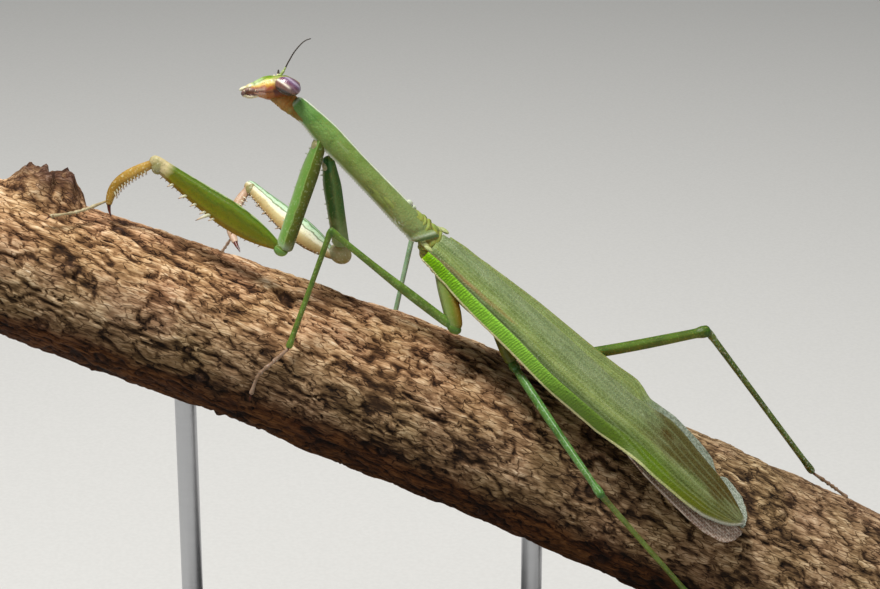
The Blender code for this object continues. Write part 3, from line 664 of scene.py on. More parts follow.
def eye_finish():
    """Compound eye under a clear cornea: mauve behind, speckled rosy brown in front, a cream line
    between them, a painted highlight in pale lavender high at the back, and a rim of painted shade in
    dark maroon below and on the inner side. The facets are drawn 0.16 mm apart, coarser than life, so
    that they show."""
    made, tree, shader = surface("compound_eye", 0.2, Coat_Weight=0.6, Coat_Roughness=0.06)
    here = add(tree, "TexCoord").outputs["Object"]
    band, line, rim = (
        add(tree, "Attribute", attribute_name=mark).outputs["Fac"]
        for mark in ("band", "line", "rim")
    )
    # The pale lavender stop at 0.76 is a painted highlight: a stripe of reflected light high on the back.
    stops = [
        (0.1, "#7a4c3c"), (0.3, "#a07464"), (0.44, "#8f6456"), (0.52, "#7c5260"), (0.57, "#a0788c"),
        (0.63, "#7c4460"), (0.7, "#84688c"), (0.76, "#cfc0d4"), (0.82, "#80647c"), (0.9, "#7a5464"),
    ]
    base = add(tree, "ValToRGB", {"Fac": band}, stops=stops)
    facets = add(tree, "TexVoronoi", {"Vector": here, "Scale": 1.0 / (0.16 * MM)})
    specks = add(tree, "MapRange", {"Value": facets, 1: 0.1, 2: 0.6, 3: 0.0, 4: 0.45})
    # The rim mark is painted shade: dark maroon on the lower and inner side of the eye.
    for share, colour in ((specks, "#432220"), (line, "#fff0dc"), (rim, "#1c0605")):
        base = add(tree, "MixRGB", {"Fac": share, "Color1": base, "Color2": colour})
    coat(tree, shader, base, facets, 0.03)
    return made


def fore_wing_finish(name, silvery=0.0):
    """Leathery fore wing. The strip by its leading edge is vivid green with cross veins 0.42 mm apart
    and a cream margin; the groove above is dark; the broad field is grey-green with a fine net of
    veins, brown and smoky towards the tip. A silvery one has a clear grey margin behind its middle."""
    made, tree, shader = surface(name, 0.45, Subsurface_Weight=0.1, Specular_IOR_Level=0.2)
    spot = add(tree, "UVMap", uv_map="wrap")
    zone, out, vein, streak, smoke, clear = (
        add(tree, "Attribute", attribute_name=mark).outputs["Fac"]
        for mark in ("zone", "out", "vein", "streak", "smoke", "clear")
    )

    stretched = add(tree, "Mapping", {"Vector": spot, "Scale": (0.8, 1.7, 1.0)})
    net = add(
        tree, "TexVoronoi", {"Vector": stretched, "Scale": 2.2, "Randomness": 0.85},
        feature="DISTANCE_TO_EDGE",
    )
    mesh = add(tree, "MapRange", {"Value": net, 1: 0.02, 2: 0.2, 3: 1.0, 4: 0.0})
    stops = [
        (0.0, "#67803a"), (0.3, "#728440"), (0.55, "#6c743a"), (0.7, "#60622c"), (0.8, "#4e4a18"),
        (1.0, "#443410"),
    ]
    field = add(tree, "ValToRGB", {"Fac": out}, stops=stops)
    long_way = add(tree, "Mapping", {"Vector": spot, "Scale": (0.22, 1.0, 1.0)})
    drift = add(tree, "TexNoise", {"Vector": long_way, "Scale": 0.9, "Detail": 5.0})
    stops = [(0.34, "#42562a"), (0.5, "#70824a"), (0.66, "#b0b888")]
    cloud = add(tree, "ValToRGB", {"Fac": drift}, stops=stops)
    field = add(tree, "MixRGB", {"Fac": 0.5, "Color1": field, "Color2": cloud})
    stops = [
        (0.33, "#46561e"), (0.42, "#76843c"), (0.5, "#98a450"), (0.66, "#6a783c"), (0.84, "#86906c"),
        (1.0, "#788262"),
    ]
    rows = add(tree, "ValToRGB", {"Fac": zone}, stops=stops)
    held = add(tree, "MapRange", {"Value": out, 1: 0.6, 2: 0.8, 3: 0.5, 4: 0.1})
    blush = add(tree, "Math", {0: streak, 1: drift}, operation="MULTIPLY")
    blush = add(tree, "MapRange", {"Value": blush, 1: 0.2, 2: 0.55, 3: 0.0, 4: 0.85})
    shown = add(tree, "MapRange", {"Value": smoke, 1: 0.0, 2: 0.8, 3: 0.3, 4: 0.1})
    shown = add(tree, "Math", {0: mesh, 1: shown}, operation="MULTIPLY")
    for share, colour in ((held, rows), (smoke, "#4a380c"), (blush, "#ab7a4c"), (shown, "#98a464")):
        field = add(tree, "MixRGB", {"Fac": share, "Color1": field, "Color2": colour})

    slant = add(tree, "Mapping", {"Vector": spot, "Rotation": (0.0, 0.0, -0.35)})
    cross = add(
        tree, "TexWave",
        {"Vector": slant, "Scale": 0.8, "Distortion": 6.0, "Detail": 3.0, "Detail Scale": 1.1},
        wave_type="BANDS", bands_direction="X",
    ).outputs["Fac"]
    strip = add(tree, "ValToRGB", {"Fac": cross}, stops=[(0.1, "#a2aea2"), (0.8, "#ffffff")])
    stops = [
        (0.0, "#82ba02"), (0.22, "#98d43c"), (0.36, "#8cbc3c"), (0.48, "#6c8a30"), (0.62, "#587014"),
        (0.72, "#5e7810"), (0.85, "#5c620a"), (1.0, "#50440a"),
    ]
    faded = add(tree, "ValToRGB", {"Fac": out}, stops=stops)
    ribbed = add(tree, "MapRange", {"Value": out, 1: 0.35, 2: 0.55, 3: 0.6, 4: 0.08})
    toned = add(
        tree, "MixRGB", {"Fac": ribbed, "Color1": faded, "Color2": strip}, blend_type="MULTIPLY"
    )
    sharp, blurred = (
        add(
            tree, "ValToRGB", {"Fac": zone},
            stops=[(0.0, "#ffffff"), (low, "#ffffff"), (high, "#000000"), (1.0, "#000000")],
        )
        for low, high in ((0.285, 0.3), (0.12, 0.62))
    )
    blurred = add(tree, "Math", {0: blurred, 1: drift}, operation="MULTIPLY")
    blurred = add(tree, "MapRange", {"Value": blurred, 1: 0.1, 2: 0.42})
    spread = add(tree, "MapRange", {"Value": out, 1: 0.5, 2: 0.66})
    inside = add(tree, "MixRGB", {"Fac": spread, "Color1": sharp, "Color2": blurred})
    bound = [(0.29, "#000000"), (0.315, "#ffffff"), (0.38, "#b0b0b0"), (0.5, "#000000")]
    groove = add(tree, "ValToRGB", {"Fac": zone}, stops=bound)
    held = add(tree, "MapRange", {"Value": out, 1: 0.45, 2: 0.68, 3: 0.75, 4: 0.1})
    darker = add(tree, "Math", {0: groove, 1: held}, operation="MULTIPLY")
    margin = add(tree, "ValToRGB", {"Fac": zone}, stops=[(0.035, "#ffffff"), (0.058, "#000000")])
    dull = add(tree, "MapRange", {"Value": out, 1: 0.45, 2: 0.75, 3: 1.0, 4: 0.35})
    margin = add(tree, "Math", {0: margin, 1: dull}, operation="MULTIPLY")
    base = field
    for share, colour in (
        (inside, toned), (darker, "#34481e"), (vein, "#a8b484"), (margin, "#e9e0a4"), (clear, "#8d8a78"),
    ):
        base = add(tree, "MixRGB", {"Fac": share, "Color1": base, "Color2": colour})
    if silvery:
        behind = add(tree, "MapRange", {"Value": out, 1: 0.6, 2: 0.68, 3: 0.0, 4: silvery})
        pearl = mottled(tree, spot, 0.5 / MM, "#6c7468", "#aab0a0", 0.35, 0.65)
        base = add(tree, "MixRGB", {"Fac": behind, "Color1": base, "Color2": pearl})
    ribs = add(tree, "Math", {0: sharp, 1: ribbed}, operation="MULTIPLY")
    both = add(tree, "Math", {0: cross, 1: ribs}, operation="MULTIPLY")
    both = add(tree, "Math", {0: mesh, 1: both}, operation="ADD")
    coat(tree, shader, base, both, 0.05)
    return made


def hind_wing_finish(name, dark, light, veins):
    """Folded hind wing: smoky membrane with close rows of dark panes between pale cross veins."""
    made, tree, shader = surface(name, 0.38)
    spot = add(tree, "UVMap", uv_map="wrap")
    panes = add(
        tree, "TexBrick",
        {
            "Vector": spot, "Color1": dark, "Color2": light, "Mortar": veins,
            "Scale": 1.0, "Mortar Size": 0.07, "Brick Width": 0.62, "Row Height": 0.42,
        },
    )
    drift = add(tree, "TexNoise", {"Vector": spot, "Scale": 0.35, "Detail": 3.0})
    cloud = add(tree, "ValToRGB", {"Fac": drift}, stops=[(0.35, dark), (0.65, light)])
    base = add(tree, "MixRGB", {"Fac": 0.4, "Color1": panes, "Color2": cloud})
    coat(tree, shader, base, panes.outputs["Fac"], 0.04)
    return made


def striped_cuticle(name, stops, fleck="#4a5a18", most=0.4, end=None):
    """Cuticle in stripes that run along a limb: the stops are places round it, from 0 on its outer
    side over 0.25 on top, 0.5 within and 0.75 below, and their colours. Fine flecks lie over them.
    The end is two distances along the limb and the colour it fades to between them."""
    made, tree, shader = surface(name, 0.42, Subsurface_Weight=0.1, Specular_IOR_Level=0.3)
    here = add(tree, "TexCoord").outputs["Object"]
    spot = add(tree, "UVMap", uv_map="wrap")
    parts = add(tree, "SeparateXYZ", {0: spot}).outputs
    turn = parts["Y"]
    wander = add(tree, "TexNoise", {"Vector": here, "Scale": 1.0 / (1.6 * MM), "Detail": 3.0})
    level = add(tree, "MapRange", {"Value": wander, 1: 0.3, 2: 0.7, 3: -0.02, 4: 0.02})
    level = add(tree, "Math", {0: turn, 1: level}, operation="ADD")
    base = add(tree, "ValToRGB", {"Fac": level}, stops=stops)
    if end:
        share = add(tree, "MapRange", {"Value": parts["X"], 1: end[0], 2: end[1], 3: 0.0, 4: 0.8})
        share = add(tree, "Math", {0: share, 1: wander}, operation="MULTIPLY")
        share = add(tree, "MapRange", {"Value": share, 1: 0.1, 2: 0.45})
        base = add(tree, "MixRGB", {"Fac": share, "Color1": base, "Color2": end[2]})
    flecks = add(tree, "TexNoise", {"Vector": here, "Scale": 1.0 / (0.35 * MM), "Detail": 2.0})
    share = add(tree, "MapRange", {"Value": flecks, 1: 0.56, 2: 0.7, 3: 0.0, 4: most})
    base = add(tree, "MixRGB", {"Fac": share, "Color1": base, "Color2": fleck})
    coat(tree, shader, base, flecks, 0.05)
    return made


def spine_finish():
    """Horny spine: cream along its shaft and dark brown at its point."""
    made, tree, shader = surface("horny_spine", 0.34)
    spot = add(tree, "UVMap", uv_map="wrap")
    up_it = add(tree, "SeparateXYZ", {0: spot}).outputs["X"]
    stops = [(0.0, "#b9b988"), (0.45, "#d6d2b4"), (0.8, "#c8a884"), (0.93, "#6a4028")]
    base = add(tree, "ValToRGB", {"Fac": up_it}, stops=stops)
    tree.links.new(base.outputs[0], shader.inputs["Base Color"])
    return made


def claw_finish():
    """Claw: hard cuticle tanned dark red-brown, glossier than the limb."""
    made, tree, shader = surface("tanned_claw", 0.25)
    here = add(tree, "TexCoord").outputs["Object"]
    mottled(tree, here, 0.6, "#2c0f0a", "#6a2f1c", into=shader.inputs["Base Color"])
    return made


def feeler_finish():
    """Feeler: dull dark brown with a paler ring at each short segment, 0.35 mm apart."""
    made, tree, shader = surface("ringed_feeler", 0.5)
    spot = add(tree, "UVMap", uv_map="wrap")
    rings = add(tree, "TexWave", {"Vector": spot, "Scale": 0.9}, bands_direction="X").outputs["Fac"]
    base = add(tree, "ValToRGB", {"Fac": rings}, stops=[(0.1, "#1d1712"), (0.9, "#4a3c2c")])
    tree.links.new(base.outputs[0], shader.inputs["Base Color"])
    return made


# ---------------------------------------------------------------- stand and branch


def ringed(middle, side, high, across, over):
    """Rings of points round a line of middles, from how far each point lies along side and high."""
    return middle[:, None] + side[:, None] * across[..., None] + high[:, None] * over[..., None]


def branch_line(x):
    """The branch's middle: z = middle height - slope x - bend x²."""
    return np.stack([x, 0.0 * x, BRANCH_MID_Z - BRANCH_SLOPE * x - BRANCH_BEND * x * x], -1)


def build_branch():
    """Branch: a round stem about the arc z = 56.8 - 0.432 x - 0.00068 x², pushed out or in by lumps,
    by cracks between the long cells round scattered seeds, by furrows and seams where stretched noise
    crosses nought, and by old bud scars, each a ring round a low mound. The knob near its upper end
    is ragged broken wood that stands 3.5 mm out over an oval."""
    rows, around = 430, 218
    x = np.linspace(BRANCH_FROM, BRANCH_TO, rows)
    middle = branch_line(x)
    along = unit(np.gradient(middle, axis=0))
    side = np.broadcast_to((0.0, 1.0, 0.0), middle.shape)
    high = np.cross(along, side)
    far = np.concatenate([[0.0], np.cumsum(np.linalg.norm(np.diff(middle, axis=0), axis=1))])
    s, t = np.meshgrid(far, np.arange(around) / around, indexing="ij")
    sway = noise(s / 7.0, t * 11.0, 11, 1)
    drift = noise(s / 2.4, t * 30.0, 30, 2)
    lumps = 0.42 * noise(s / 15.0, t * 5.0, 5, 3) + 0.3 * noise(s / 6.0, t * 12.0, 12, 4)
    gap, own = cells(s / 4.6 + 0.5 * sway, t * 72.0 + 0.9 * drift, 72, 5)
    crack = 1.0 - step_up(gap, 0.02, 0.26)
    furrow = bump(noise(s / 9.5 + 0.3 * drift, t * 36.0 + 0.8 * sway + 0.5 * drift, 36, 6), 0.1)
    seam = bump(noise(s / 5.2 + 0.3 * drift, t * 66.0 + 0.8 * sway + 0.6 * drift, 66, 7), 0.15)
    crumb = noise(s / 1.5, t * 100.0, 100, 12)
    girth = TAU * (BRANCH_RADIUS + BRANCH_THICKENS * x[:, None])
    pits, rings = 0.0 * t, 0.0 * t
    spots = (random.uniform(4, 140, 90), random.random(90), random.uniform(0.4, 0.95, 90))
    for place, turn, size in zip(*spots):
        off = np.hypot(s - place, ((t - turn + 0.5) % 1.0 - 0.5) * girth) / size
        pits, rings = pits + bump(off, 0.8), rings + bump(off - 1.25, 0.35)
    push = lumps + 0.16 * (own - 0.5) - 0.1 * crack - 0.3 * furrow - 0.16 * seam + 0.1 * crumb
    push = push + 0.45 * pits - 0.25 * rings

    radius = BRANCH_RADIUS + BRANCH_THICKENS * x[:, None]
    off = np.hypot((x[:, None] - KNOB_AT) / KNOB_HALVES[0], (t - KNOB_TURN) * TAU * radius / KNOB_HALVES[1])
    swell = step_up(1.3 - off, 0.0, 0.75)
    rugged = noise(s / 2.1, t * 34.0, 34, 9) + 0.8 * noise(s / 1.0, t * 66.0, 66, 10)
    push = push * (1.0 - 0.6 * swell) + swell * (3.5 + 1.2 * rugged)
    reach = radius + push
    points = ringed(middle, side, high, np.cos(TAU * t) * reach, np.sin(TAU * t) * reach)
    relief = 0.62 + 0.14 * (own - 0.5) - 0.08 * crack - 0.38 * furrow - 0.2 * seam + 0.1 * crumb + 0.06 * sway
    relief = np.clip(relief - 0.3 * rings - 0.16 * pits + 0.1 * lumps, 0.0, 1.0)
    scar = np.clip(swell * step_up(rugged, -1.4, 0.6) + 0.4 * pits, 0.0, 1.0)
    # Painted shade: below marks the underside, which the bark finish darkens to dark brown.
    below = step_up(-np.sin(TAU * t) + 0.12 * sway + 0.1 * drift, 0.0, 0.5)
    # Painted light: above pales the top, fading out along the lower end, which lies in the mantis's shade.
    above = step_up(np.sin(TAU * t) + 0.15 * sway, 0.1, 0.8) * (1.0 - step_up(s, 60.0, 110.0))

    shares = np.array((0.05, 0.3, 0.55, 0.8, 0.96, 0.995))[:, None, None]
    front = middle[0] + (points[0] - middle[0]) * shares
    back = middle[-1] + (points[-1] - middle[-1]) * shares[::-1]
    rims = len(shares)
    marks = {"relief": relief, "scar": scar, "below": below, "above": above, "away": 0.0 * t}
    for name, mark in marks.items():
        marks[name] = np.vstack([mark[:1]] * rims + [mark] + [mark[-1:]] * rims)
    marks["away"][:rims] = np.linalg.norm(front - middle[0], axis=-1)
    marks["away"][-rims:] = np.linalg.norm(back - middle[-1], axis=-1)
    points = np.concatenate([front, points, back])
    wears = np.zeros(len(points) - 1, int)
    wears[:rims] = wears[-rims:] = 1
    piece = Piece(bark_finish(), cut_wood_finish())
    piece.grid(points, wrapped(np.linspace(0.0, 1.0, len(points)), around), wears, marks=marks)
    piece.make("branch_bark", "bark", "perch_branch", map_name="OFBake")


def lathe(piece, x, profile, around=40):
    """Round solid about an upright line at x, from its radii and heights."""
    radius, height = (np.asarray(profile, float)[:, i] for i in (0, 1))
    middle = np.stack([0.0 * radius + x, 0.0 * radius, height], -1)
    turn = TAU * np.arange(around) / around
    side = np.broadcast_to((1.0, 0.0, 0.0), middle.shape)
    high = np.broadcast_to((0.0, 1.0, 0.0), middle.shape)
    across, over = radius[:, None] * np.cos(turn), radius[:, None] * np.sin(turn)
    piece.grid(ringed(middle, side, high, across, over), wrapped(height, around))


def build_stand():
    """Base: a rectangle with rounded corners, stacked up through a moulded edge. Rods: round bars
    that rise out of stepped collars."""
    width, depth, corner = 108.0, 76.0, 10.0
    edge = (
        (0.6, 0.0), (0.0, 0.5), (0.0, 2.6), (0.5, 3.0), (0.5, 3.3), (0.2, 3.7), (0.25, 4.6),
        (0.7, 5.5), (1.3, 5.9), (1.9, 6.0), (8.0, 6.0), (20.0, 6.0), (36.0, 6.0),
    )
    turn = TAU * (np.arange(120) + 0.5) / 120
    quarter = np.stack([np.sign(np.cos(turn)), np.sign(np.sin(turn))], -1)
    round_way = np.stack([np.cos(turn), np.sin(turn)], -1)
    rings = []
    for inset, height in edge:
        bend = max(corner - inset, 0.6)
        centre = quarter * (np.array((width, depth)) / 2.0 - max(inset, 0.0) - bend)
        flat = centre + round_way * bend
        rings.append(np.column_stack([flat, np.full(len(flat), height)]))
    piece = Piece(stained_wood_finish())
    piece.grid(np.array(rings), wrapped(np.arange(len(edge)), 120))
    piece.make("plinth", "base_black", "stand_base")
    for number, x in enumerate(ROD_PLACES, start=1):
        centre, foot = branch_line(np.array([x]))[0, 2], 6.05
        top = centre - BRANCH_RADIUS - BRANCH_THICKENS * x + ROD_SINKS
        profile = (
            (3.2, foot), (3.6, foot + 0.2), (3.6, foot + 1.0), (3.4, foot + 1.2), (2.5, foot + 1.3),
            (2.4, foot + 1.9), (2.2, foot + 2.1), (1.65, foot + 2.15), (1.6, foot + 2.4),
            (1.6, foot + 12.0), (1.6, top - 1.0), (1.55, top),
        )
        piece = Piece(steel_finish())
        lathe(piece, x, profile)
        piece.make(f"support_rod_{number}", "rod_steel", f"stand_rod_{number}")


# ---------------------------------------------------------------- body and wings


def head_frame():
    """Mouthward, left and faceward directions of the head."""
    forward = unit(MOUTH_WAY)
    left = square_to(LEFT_EYE_WAY, forward)
    return forward, left, np.cross(forward, left)


def build_body():
    """Neck, thorax and hind body: one skin of ovals along a smooth line from under the head, through
    the neck shield, to the tail, wrinkled where it is soft and stepped at each ring of the hind body."""
    tail, left, up = body_frame(PRONOTUM_FRONT, PRONOTUM_REAR)
    hind, hind_left, hind_up = body_frame(WING_ROOT, WING_TIP)
    forward, _, face = head_frame()
    stations = [
        (HEAD_MIDDLE + forward * 2.2 - face * 0.5, 0.9, 0.8),
        (HEAD_MIDDLE + forward * 1.1 - face * 1.1, 1.4, 1.15),
        (PRONOTUM_FRONT - tail * 0.9 - up * 1.0, 1.45, 1.35),
        (PRONOTUM_FRONT + tail * 0.8 - up * 0.7, 1.25, 1.25),
        (PRONOTUM_FRONT + tail * 4.0, 1.3, 1.2),
        (PRONOTUM_FRONT + tail * 12.0, 1.5, 1.2),
        (PRONOTUM_FRONT + tail * 20.0, 1.6, 1.25),
    ]
    rear = (
        (-3.2, 1.6, 1.3, 0.35), (-2.2, 2.1, 1.6, -0.2), (-1.2, 2.35, 1.65, -1.4), (1.5, 2.45, 1.8, -1.95),
        (4.0, 2.6, 2.0, -2.4), (9.0, 2.7, 2.1, -2.6), (14.0, 2.6, 1.9, -2.5), (16.8, 2.35, 1.6, -2.4),
        (20.0, 2.6, 1.6, -2.3), (28.0, 3.1, 1.8, -2.2), (36.0, 2.7, 1.5, -1.9), (42.0, 1.9, 1.1, -1.6),
        (45.4, 1.1, 0.7, -1.5), (46.6, 0.4, 0.3, -1.5),
    )
    stations += [(WING_ROOT + hind * at + hind_up * lift, wide, deep) for at, wide, deep, lift in rear]
    line = np.array([place for place, _, _ in stations])
    halves = np.array([sizes for _, *sizes in stations])
    far = np.concatenate([[0.0], np.cumsum(np.linalg.norm(np.diff(line, axis=0), axis=1))])
    rows, around = 620, 56
    s = np.linspace(0.0, far[-1], rows)
    middle, halves = eased(s, far, line, firm=False), eased(s, far, halves)
    share = step_up(s, 20.0, 34.0)[:, None]
    along = unit(np.gradient(middle, axis=0))
    side = square_to(left * (1.0 - share) + hind_left * share, along)
    high = np.cross(along, side)
    turn = np.arange(around) / around
    s, t = np.meshgrid(s, turn, indexing="ij")
    root = far[9]
    soft = step_up(s, root - 5.5, root - 4.0) * (1.0 - step_up(s, root + 2.6, root + 4.4))
    neck = 1.0 - step_up(s, 4.2, 5.4)
    fold = np.sin(TAU * s / 0.95 + 5.5 * noise(s / 1.7, t * 7.0, 7, 21))
    abdomen = step_up(s, root + 17.5, root + 19.0)
    ring = ((s - root) / 3.6) % 1.0
    edge = bump(ring - 1.0, 0.06) + bump(ring, 0.07)
    plates = (1.0 - soft - neck) * (1.0 - abdomen)
    seam = noise(s / 3.4 + 0.5 * np.sin(TAU * t), t * 6.0, 6, 22)
    groove = bump(seam, 0.09) * plates
    push = (0.11 * soft + 0.035 * neck) * fold + abdomen * (0.24 * ring - 0.12)
    push = push - 0.12 * groove + 0.12 * plates * seam
    size = 1.0 + push / halves.mean(-1)[:, None]
    points = ringed(
        middle, side, high, np.cos(TAU * t) * halves[:, :1] * size, np.sin(TAU * t) * halves[:, 1:] * size
    )
    crease = (soft + 0.3 * neck) * step_up(-fold, 0.2, 1.0) * 0.6 + 0.7 * abdomen * edge + 0.75 * groove
    crease = np.clip(crease, 0.0, 1.0)
    piece = Piece(body_skin_finish(), cuticle("cream_hinge_plate", "#8f9a50", "#b9bc7c", "#e0deb0"))
    piece.grid(points, wrapped(s[:, 0], around), marks={"back": s / s.max(), "crease": crease})
    hinges = (
        (-2.2, 0.0, 0.2, (0.7, 0.4, 0.4)), (-1.4, 0.35, 0.5, (0.8, 0.35, 0.3)),
        (-2.9, -0.3, 0.3, (0.5, 0.4, 0.35)),
    )
    for sign in (1.0, -1.0):
        root = WING_ROOT + hind_left * (1.9 * sign)
        for at, out, lift, halves in hinges:
            spot = root + hind * at + hind_left * (out * sign) + hind_up * lift
            ball(piece, spot, (hind + hind_up * 0.2, hind_left, hind_up), halves, finish=1)
        start = WING_ROOT + hind * 44.8 + hind_left * (1.8 * sign) - hind_up * 1.5
        bends = ((0.0, 0.0), (1.6, 0.5), (3.2, 0.9))
        path = [start + hind * at + hind_left * (out * sign) for at, out in bends]
        beads = [(i / 12.0, 0.62 - 0.03 * i + (0.1 if i % 2 else -0.06)) for i in range(13)]
        limb(piece, path, beads, hind_up, finish=1, rows=60, around=12)
    piece.make("body", "body_green", "neck", "pterothorax", "abdomen", "cercus_left", "cercus_right")


def build_pronotum():
    """Neck shield: an oval section along the body with a thin flange along each side that bears a row
    of tiny teeth, a groove across its widest part in front of two low ridges that part behind it, and
    a narrower underside."""
    tail, left, up = body_frame(PRONOTUM_FRONT, PRONOTUM_REAR, SHIELD_LEAN)
    length = 26.8
    stations = (
        (-0.6, 0.4, 0.4), (-0.45, 0.75, 0.75), (-0.15, 1.0, 1.0), (0.7, 1.18, 1.18), (3.0, 1.42, 1.35),
        (5.0, 1.62, 1.5), (6.8, 1.72, 1.55),
        (8.6, 1.68, 1.55), (12.0, 1.6, 1.5), (18.0, 1.66, 1.45), (24.0, 1.78, 1.5), (26.2, 1.75, 1.45),
        (26.8, 1.65, 1.3),
    )
    rows, around = 340, 96
    at = (length + 0.6) * (0.5 - 0.5 * np.cos(math.pi * np.linspace(0.02, 1.0, rows))) ** 0.9 - 0.6
    halves = sizes_at(at, stations)
    s, t = np.meshgrid(at, np.arange(around) / around, indexing="ij")
    lift = np.sin(TAU * t)
    top, under = step_up(lift, 0.0, 0.35), step_up(-lift, 0.05, 0.4)
    flange = bump((t + 0.25) % 0.5 - 0.25, 0.022)
    groove = top * bump(s - 7.2 - 1.3 * (1.0 - lift), 0.3)
    fork = bump(np.abs(t - 0.25) - 0.006 * (s - 7.6), 0.007)
    fork = fork * step_up(s, 7.4, 7.9) * (1.0 - step_up(s, 9.4, 10.6))
    furrow = bump(t - 0.25, 0.01) * step_up(s, 1.0, 2.0) * (1.0 - step_up(s, 6.0, 6.8))
    dimple = noise(s / 2.2, t * 9.0, 9, 31) * 0.05 + noise(s / 0.6, t * 34.0, 34, 32) * 0.025
    ends = step_up(s, -0.6, 0.6)
    push = 0.02 * fork + 0.2 * flange * ends - 0.035 * groove - 0.03 * furrow + dimple
    push = push + 0.07 * bump(s - 26.1, 0.4) - 0.1 * bump(s - 25.2, 0.4)
    wide = halves[:, :1] * (1.0 - 0.2 * under) + push
    deep = halves[:, 1:] * (1.0 - 0.04 * under) + push
    far = s + step_up(s, 16.0, length) * (0.4 * top - 1.0 * np.cos(TAU * t))
    points = PRONOTUM_FRONT + tail * far[..., None] + left * (np.cos(TAU * t) * wide - 0.05)[..., None]
    points = points + up * (lift * deep)[..., None]
    crumbs = step_up(noise(s / 0.5, t * 40.0, 40, 33), 0.0, 0.3)
    scuff = bump(s - 22.6, 0.9) * bump(t - 0.06, 0.05) * crumbs
    edge = np.maximum(bump((t + 0.5) % 1.0 - 0.5, 0.028), bump(t - 0.475, 0.04))
    rim = edge * ends + 0.12 * fork + 0.35 * bump(s - 26.0, 0.25) + scuff + 0.45 * bump(s + 0.3, 0.2)
    marks = {
        "back": np.clip(s / length, 0.0, 1.0),
        "rim": np.clip(rim, 0.0, 1.0),
        "below": under,
        "crease": np.clip(0.3 * furrow + 0.12 * groove + 0.6 * step_up(s, 26.25, 26.5), 0.0, 1.0),
    }
    piece = Piece(pronotum_finish(), cuticle("pale_pronotum_tooth", "#b9c0a0", "#d6d9bf", "#eceedd"))
    piece.grid(points, wrapped(at, around), flip=left_handed(left, up, tail), marks=marks)
    for sign in (1.0, -1.0):
        for place in np.arange(1.8, 25.5, 0.44):
            wide = sizes_at(np.array([place]), stations)[0, 0]
            root = PRONOTUM_FRONT + tail * place + left * (sign * (wide + 0.16) - 0.05)
            tall = 0.16 + 0.08 * random.random()
            spine(piece, root, left * sign + tail * 0.2, tall, 0.08, 1, rows=3, around=5)
    for place, size in ((21.6, 0.5), (22.5, 0.34)):
        spot = PRONOTUM_FRONT + tail * place - left * 1.9 + up * 0.3
        ball(piece, spot, (tail, left, up), (size, size * 0.8, size * 0.8), 1, 8, 12)
    piece.make("neck_shield", "body_green", "prothorax")


